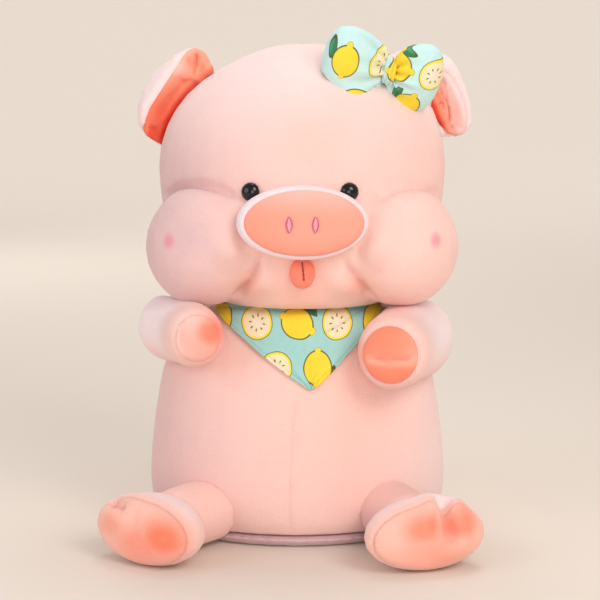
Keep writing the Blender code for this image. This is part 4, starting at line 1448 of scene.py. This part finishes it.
# Each leg's painted values: the cool tint low on the leg is painted shade, and the seam value darkens the
# whole left leg as painted shade
leg_tints = {"left": {"cool": 0.75, "warm": 0.05, "seam": 0.22},
             "right": {"cool": 0.15, "warm": 0.20, "pale": 0.20}}
foot_spots = {
    "left": (("coral", (426, 529), (0.029, 0.04, 0.020), 0.72, 1.2),
             ("coral", (463, 523), (0.023, 0.04, 0.019), 0.70, 1.2),
             ("coral", (435, 553), (0.044, 0.05, 0.020), 0.36, 1.2)),
    "right": (("coral", (163, 539), (0.032, 0.05, 0.026), 0.92, 1.2),
              ("coral", (140, 545), (0.040, 0.05, 0.026), 0.55, 1.2),
              ("coral", (112, 525), (0.018, 0.03, 0.016), 0.40, 1.2)),
}
# The cleft between the toes: the photograph's pixels, its depth, and how far the toes bulge beside it
clefts = {
    "left": ([(443, 499), (445, 505), (447, 513), (449, 524), (451, 536)], 0.0095, 0.0036),
    "right": ([(96, 503), (99, 502), (103, 502), (111, 503), (120, 506)], 0.0055, 0.0010),
}
solid_notch = (137, 514)


def build_legs():
    for side, sign in side_sign.items():
        hip, yaw = hips[side], math.radians(leg_yaw[side])
        run = Vector((sign * math.sin(yaw), -math.cos(yaw), 0))
        foot_root = hip + run * foot_at
        foot_root.z = foot_height
        leg = skin_of("leg_skin_" + side, ["leg_" + side], "leg")
        low = ramp(points_of(leg)[:, 2], 0.055, 0.015)
        for name, share in leg_tints[side].items():
            mark(leg, name, share * low if name == "cool" else share)
        sewn = ("torso", tuple(hip + run * 0.030), tuple(hip + run * 0.064))
        finish_piece(leg, skin_material(), "leg_" + side, ["leg_" + side], sewn)

        foot = skin_of("foot_skin_" + side, ["foot_" + side, "sole_" + side], "foot")
        if side == "right":
            # The solid's notch is smoothed away: the photograph shows this foot's cleft from its side
            for notch in on_surface(surface_of(foot), [solid_notch]):
                relax(foot, 70, 0.5, 0.0, spot(points_of(foot), notch, (0.025, 0.025, 0.025), 2.0))
        tree = surface_of(foot)
        points = points_of(foot)
        along = (points - np.array(foot_root)) @ np.array(run)
        airbrush(foot, tree, points, foot_spots[side])
        mark(foot, "pale", 0.75 * ramp(points[:, 2], 0.034, 0.054) * ramp(along, 0.047, 0.027))
        mark(foot, "warm", 0.55 * ramp(along, 0.030, 0.048))
        pixels, cleft_depth, bulge = clefts[side]
        line = on_surface(tree, pixels)
        push_out(foot, bulge * bell(path_distance(points, line)[0], 0.014, 0.008))
        press_seam(foot, line, cleft_depth, 0.0052, 0.0, 0.45, 0.0022, taper=False)
        seam = foot_root + run * sole_seam_at
        press_seam(foot, slice_path(foot, seam, run, 90), *seams["sole_rim"])
        sole = split_at(foot, seam, run, "sole_skin_" + side)
        finish_piece(foot, skin_material(), "leg_" + side, ["foot_" + side])
        finish_piece(sole, skin_material(), "leg_" + side, ["sole_" + side])


# Bow

def cloth_map(obj, across, up):
    """A UV map in metres, from each point's places across and up the cloth."""
    flat = np.stack([across, up], 1)
    layer = obj.data.uv_layers.new(name="cloth")
    corner = np.empty(len(obj.data.loops), dtype=np.int64)
    obj.data.loops.foreach_get("vertex_index", corner)
    layer.data.foreach_set("uv", flat[corner].astype(np.float32).ravel())


bow_centre = np.array((0.0810, -0.0610, 0.4235))
bow_turn, bow_tilt = math.radians(31), math.radians(13)
# How the right lobe hangs: it leans by a share of its length, and its lower middle comes down and forwards
lobe_slope, lobe_drop = -0.22, 0.003
lobe_low_middle = (-0.020, 0.016)
lobe_low_drop, lobe_low_forward = 0.0135, 0.015
left_lobe_shorter = 0.12
gather_count, gather_depth, gather_at, gather_reach = 9, 0.0020, 0.006, 0.018


def build_bow():
    tilt = Matrix.Rotation(bow_tilt, 3, "Y")
    along = (tilt @ Vector((1, 0, 0))).normalized()
    up = (Matrix.Rotation(bow_turn, 3, "X") @ (tilt @ Vector((0, 0, 1)))).normalized()
    along, up, forward = np.array(along), np.array(up), np.array(along.cross(up).normalized())
    material = cloth_material("bow_cotton", colours().bow_cloth, sizes().bow_repeat)
    for side, sign in side_sign.items():
        lobe = skin_of("bow_lobe_skin_" + side, ["bow_lobe_" + side], "bow_lobe")
        points = points_of(lobe)
        if side == "right":
            place = points - bow_centre
            across, height = place @ along, place @ up
            low_middle = bell(across, *lobe_low_middle) * ramp(-height, 0.0, 0.02)
            lean = (lobe_slope * (across + 0.027) - lobe_drop) * ramp(np.abs(across), 0.0, 0.016)
            lean -= lobe_low_drop * low_middle
            points = points + lean[:, None] * up - low_middle[:, None] * np.array((0, lobe_low_forward, 0))
            place_points(lobe, points)
        normals = normals_of(lobe)
        place = points - bow_centre
        across = place @ along
        angle = np.arctan2(place @ up, place @ forward)
        if side == "left":
            points = points - across[:, None] * along * left_lobe_shorter
        near = bell(np.abs(across), gather_at, gather_reach)
        gather = np.sin(angle * gather_count + 0.7 * sign)
        long_fold = np.sin(angle * 4 + 1.1) * 0.0012 * bell(across, 0, 0.035)
        place_points(lobe, points + normals * (gather * gather_depth * near + long_fold)[:, None])
        # Painted shade in the valleys of the gathers
        mark(lobe, "seam", 0.45 * near * np.clip(-gather, 0, 1))
        place = points_of(lobe) - bow_centre
        cloth_map(lobe, place @ along + 0.012 * sign, place @ up + 0.006)
        finish_piece(lobe, material, "head", ["bow_lobe_" + side])
    knot = skin_of("bow_knot_skin", ["bow_knot"], "bow_knot")
    wave = np.sin((points_of(knot) - bow_centre) @ along * 2 * math.pi / 0.0042)
    push_out(knot, wave * 0.0006)
    # Painted shade in the valleys of the knot's wrinkles
    mark(knot, "seam", 0.5 * np.clip(-wave, 0, 1))
    place = points_of(knot) - bow_centre
    cloth_map(knot, place @ along + 0.004, place @ up + 0.011)
    finish_piece(knot, material, "head", ["bow_knot"])


# Scarf

scarf_half_width = 0.0825
scarf_top = 0.2122
scarf_tip_height = 0.1442
scarf_tip_shift = 0.0120
scarf_thickness = 0.0009
hem_at, hem_width = 0.0045, 0.0008
scarf_columns, scarf_rows = 60, 30
scarf_fold = [(366, 307), (352, 317), (338, 326), (324, 333)]


def chest_place(trees, x, z):
    """The surface at a height and at a distance to the side, found by turning about the body's middle."""
    turn = math.asin(max(-0.98, min(0.98, x / 0.085)))
    for step in range(4):
        outside = Vector((math.sin(turn) * 0.4, -math.cos(turn) * 0.4, z))
        inward = Vector((-outside.x, -outside.y, 0)).normalized()
        hits = []
        while not hits:
            hits = [hit for hit in (tree.ray_cast(outside, inward) for tree in trees) if hit[0] is not None]
            outside.z -= 0.0005
        place, normal, index, away = min(hits, key=lambda hit: hit[3])
        turn = math.asin(max(-0.98, min(0.98, x / math.hypot(place.x, place.y))))
    return place, normal


def make_scarf_band(material):
    """The scarf's ends, rolled into a band round the neck, with slanting gathers."""
    band = skin_of("scarf_band_roll", ["scarf_band"], "scarf_band")
    x, y, z = points_of(band).T
    angle = np.arctan2(x, -y)
    wave = np.sin(angle * 26 + z * 900)
    push_out(band, wave * 0.0004)
    # Painted shade in the valleys of the gathers
    mark(band, "seam", 0.4 * np.clip(-wave, 0, 1))
    cloth_map(band, angle * 0.075, z)
    finish_piece(band, material, "torso", ["scarf_band"])
    return band


def build_scarf():
    material = cloth_material("scarf_cotton", colours().scarf_cloth, sizes().print_repeat)
    band = make_scarf_band(material)
    trees = [surface_of(bpy.data.objects["body_skin"]), surface_of(band)]
    bm = bmesh.new()
    layer = bm.loops.layers.uv.new("cloth")
    grid, flat, hem = [], {}, []
    for row in range(scarf_rows + 1):
        v = row / scarf_rows
        half = scarf_half_width * (1 - v) ** 0.92 + 0.0015 * (1 - v * 0.3)
        z = scarf_top + (scarf_tip_height - scarf_top) * v
        line = []
        for column in range(scarf_columns + 1):
            u = -1 + 2 * column / scarf_columns
            x = scarf_tip_shift * v + u * half
            place, normal = chest_place(trees, x, z)
            ripple = 0.0010 * math.sin(u * 7.5 + v * 4) + 0.0007 * math.sin(u * 15 - v * 6)
            lift = 0.0017 + 0.0011 * v + ripple * (0.5 + 0.5 * v)
            vertex = bm.verts.new(place + normal * max(lift, 0.0012))
            flat[vertex] = (x * 1.02, z)
            line.append(vertex)
            to_edge = (1 - abs(u)) * (scarf_half_width * (1 - v) + 0.003)
            hem.append(math.exp(-((to_edge - hem_at) / hem_width) ** 2))
        grid.append(line)
    for above, below in zip(grid[:-1], grid[1:]):
        for i in range(scarf_columns):
            face = bm.faces.new((above[i], below[i], below[i + 1], above[i + 1]))
            for loop in face.loops:
                loop[layer].uv = flat[loop.vert]
    scarf = new_object("scarf_cloth", bm)
    mark(scarf, "seam", 0.5 * np.array(hem))
    relax(scarf, 1, 0.4)
    thick = scarf.modifiers.new("cloth", "SOLIDIFY")
    thick.thickness = scarf_thickness
    thick.offset = 1.0
    subdivide(scarf)
    closed_normals(scarf)
    points = points_of(scarf)
    away = path_distance(points, on_surface(surface_of(scarf), scarf_fold, 2.0))[0]
    points[:, 1] -= 0.0016 * bell(away, 0, 0.0026)
    place_points(scarf, points)
    # Painted shade along the fold
    mark(scarf, "seam", 0.55 * bell(away, 0.0006, 0.0007))
    finish_piece(scarf, material, "torso", ["scarf_flap"])


def build_tail():
    tail = skin_of("tail_skin", ["tail"], "tail")
    mark(tail, "warm", 0.4 * ramp(points_of(tail)[:, 1], 0.118, 0.138))
    sewn = ("torso", (0, 0.110, 0.059), (0, 0.126, 0.066))
    finish_piece(tail, skin_material(), "tail", ["tail"], sewn)


# The add-on's operators

class PLUSH_OT_stage(bpy.types.Operator):
    """Makes the floor, backdrop, lamps and camera"""
    bl_idname = "plush.stage"
    bl_label = "Studio"

    def execute(self, context):
        build_stage()
        return {"FINISHED"}


class PLUSH_OT_body(bpy.types.Operator):
    """Makes the body's skin and the panel that it sits on"""
    bl_idname = "plush.body"
    bl_label = "Body and base"

    def execute(self, context):
        build_body()
        return {"FINISHED"}


class PLUSH_OT_head(bpy.types.Operator):
    """Makes the head's skin with its cheeks"""
    bl_idname = "plush.head"
    bl_label = "Head and cheeks"

    def execute(self, context):
        build_head()
        return {"FINISHED"}


class PLUSH_OT_face(bpy.types.Operator):
    """Makes the snout, nostrils, eyes and tongue"""
    bl_idname = "plush.face"
    bl_label = "Snout, eyes and tongue"

    def execute(self, context):
        build_snout()
        build_nostrils()
        build_eyes()
        build_tongue()
        return {"FINISHED"}


class PLUSH_OT_ears(bpy.types.Operator):
    """Makes the ears and their linings; the head's skin has to be there"""
    bl_idname = "plush.ears"
    bl_label = "Ears"

    def execute(self, context):
        build_ears()
        return {"FINISHED"}


class PLUSH_OT_arms(bpy.types.Operator):
    """Makes the arms and their pads"""
    bl_idname = "plush.arms"
    bl_label = "Arms"

    def execute(self, context):
        build_arms()
        return {"FINISHED"}


class PLUSH_OT_legs(bpy.types.Operator):
    """Makes the legs, the cloven feet and their soles"""
    bl_idname = "plush.legs"
    bl_label = "Legs and feet"

    def execute(self, context):
        build_legs()
        return {"FINISHED"}


class PLUSH_OT_bow(bpy.types.Operator):
    """Makes the bow in front of the ear"""
    bl_idname = "plush.bow"
    bl_label = "Bow"

    def execute(self, context):
        build_bow()
        return {"FINISHED"}


class PLUSH_OT_scarf(bpy.types.Operator):
    """Makes the neck scarf; the body's skin has to be there"""
    bl_idname = "plush.scarf"
    bl_label = "Scarf"

    def execute(self, context):
        build_scarf()
        return {"FINISHED"}


class PLUSH_OT_tail(bpy.types.Operator):
    """Makes the tail"""
    bl_idname = "plush.tail"
    bl_label = "Tail"

    def execute(self, context):
        build_tail()
        return {"FINISHED"}


operators = (
    PLUSH_OT_stage, PLUSH_OT_body, PLUSH_OT_head, PLUSH_OT_face, PLUSH_OT_ears, PLUSH_OT_arms,
    PLUSH_OT_legs, PLUSH_OT_bow, PLUSH_OT_scarf, PLUSH_OT_tail)


class PLUSH_PT_panel(bpy.types.Panel):
    """Lists the pieces that the add-on makes"""
    bl_idname = "PLUSH_PT_panel"
    bl_label = "Plush pig"
    bl_space_type = "VIEW_3D"
    bl_region_type = "UI"
    bl_category = "Plush pig"

    def draw(self, context):
        for operator in operators:
            self.layout.operator(operator.bl_idname)


classes = (PlushColours, PlushSizes, *operators, PLUSH_PT_panel)


def register():
    for cls in classes:
        bpy.utils.register_class(cls)
    bpy.types.Scene.plush_colours = bpy.props.PointerProperty(type=PlushColours)
    bpy.types.Scene.plush_sizes = bpy.props.PointerProperty(type=PlushSizes)


def unregister():
    del bpy.types.Scene.plush_sizes
    del bpy.types.Scene.plush_colours
    for cls in reversed(classes):
        bpy.utils.unregister_class(cls)


def main():
    register()
    for operator in operators:
        group, name = operator.bl_idname.split(".")
        getattr(getattr(bpy.ops, group), name)()


if __name__ == "__main__":
    main()
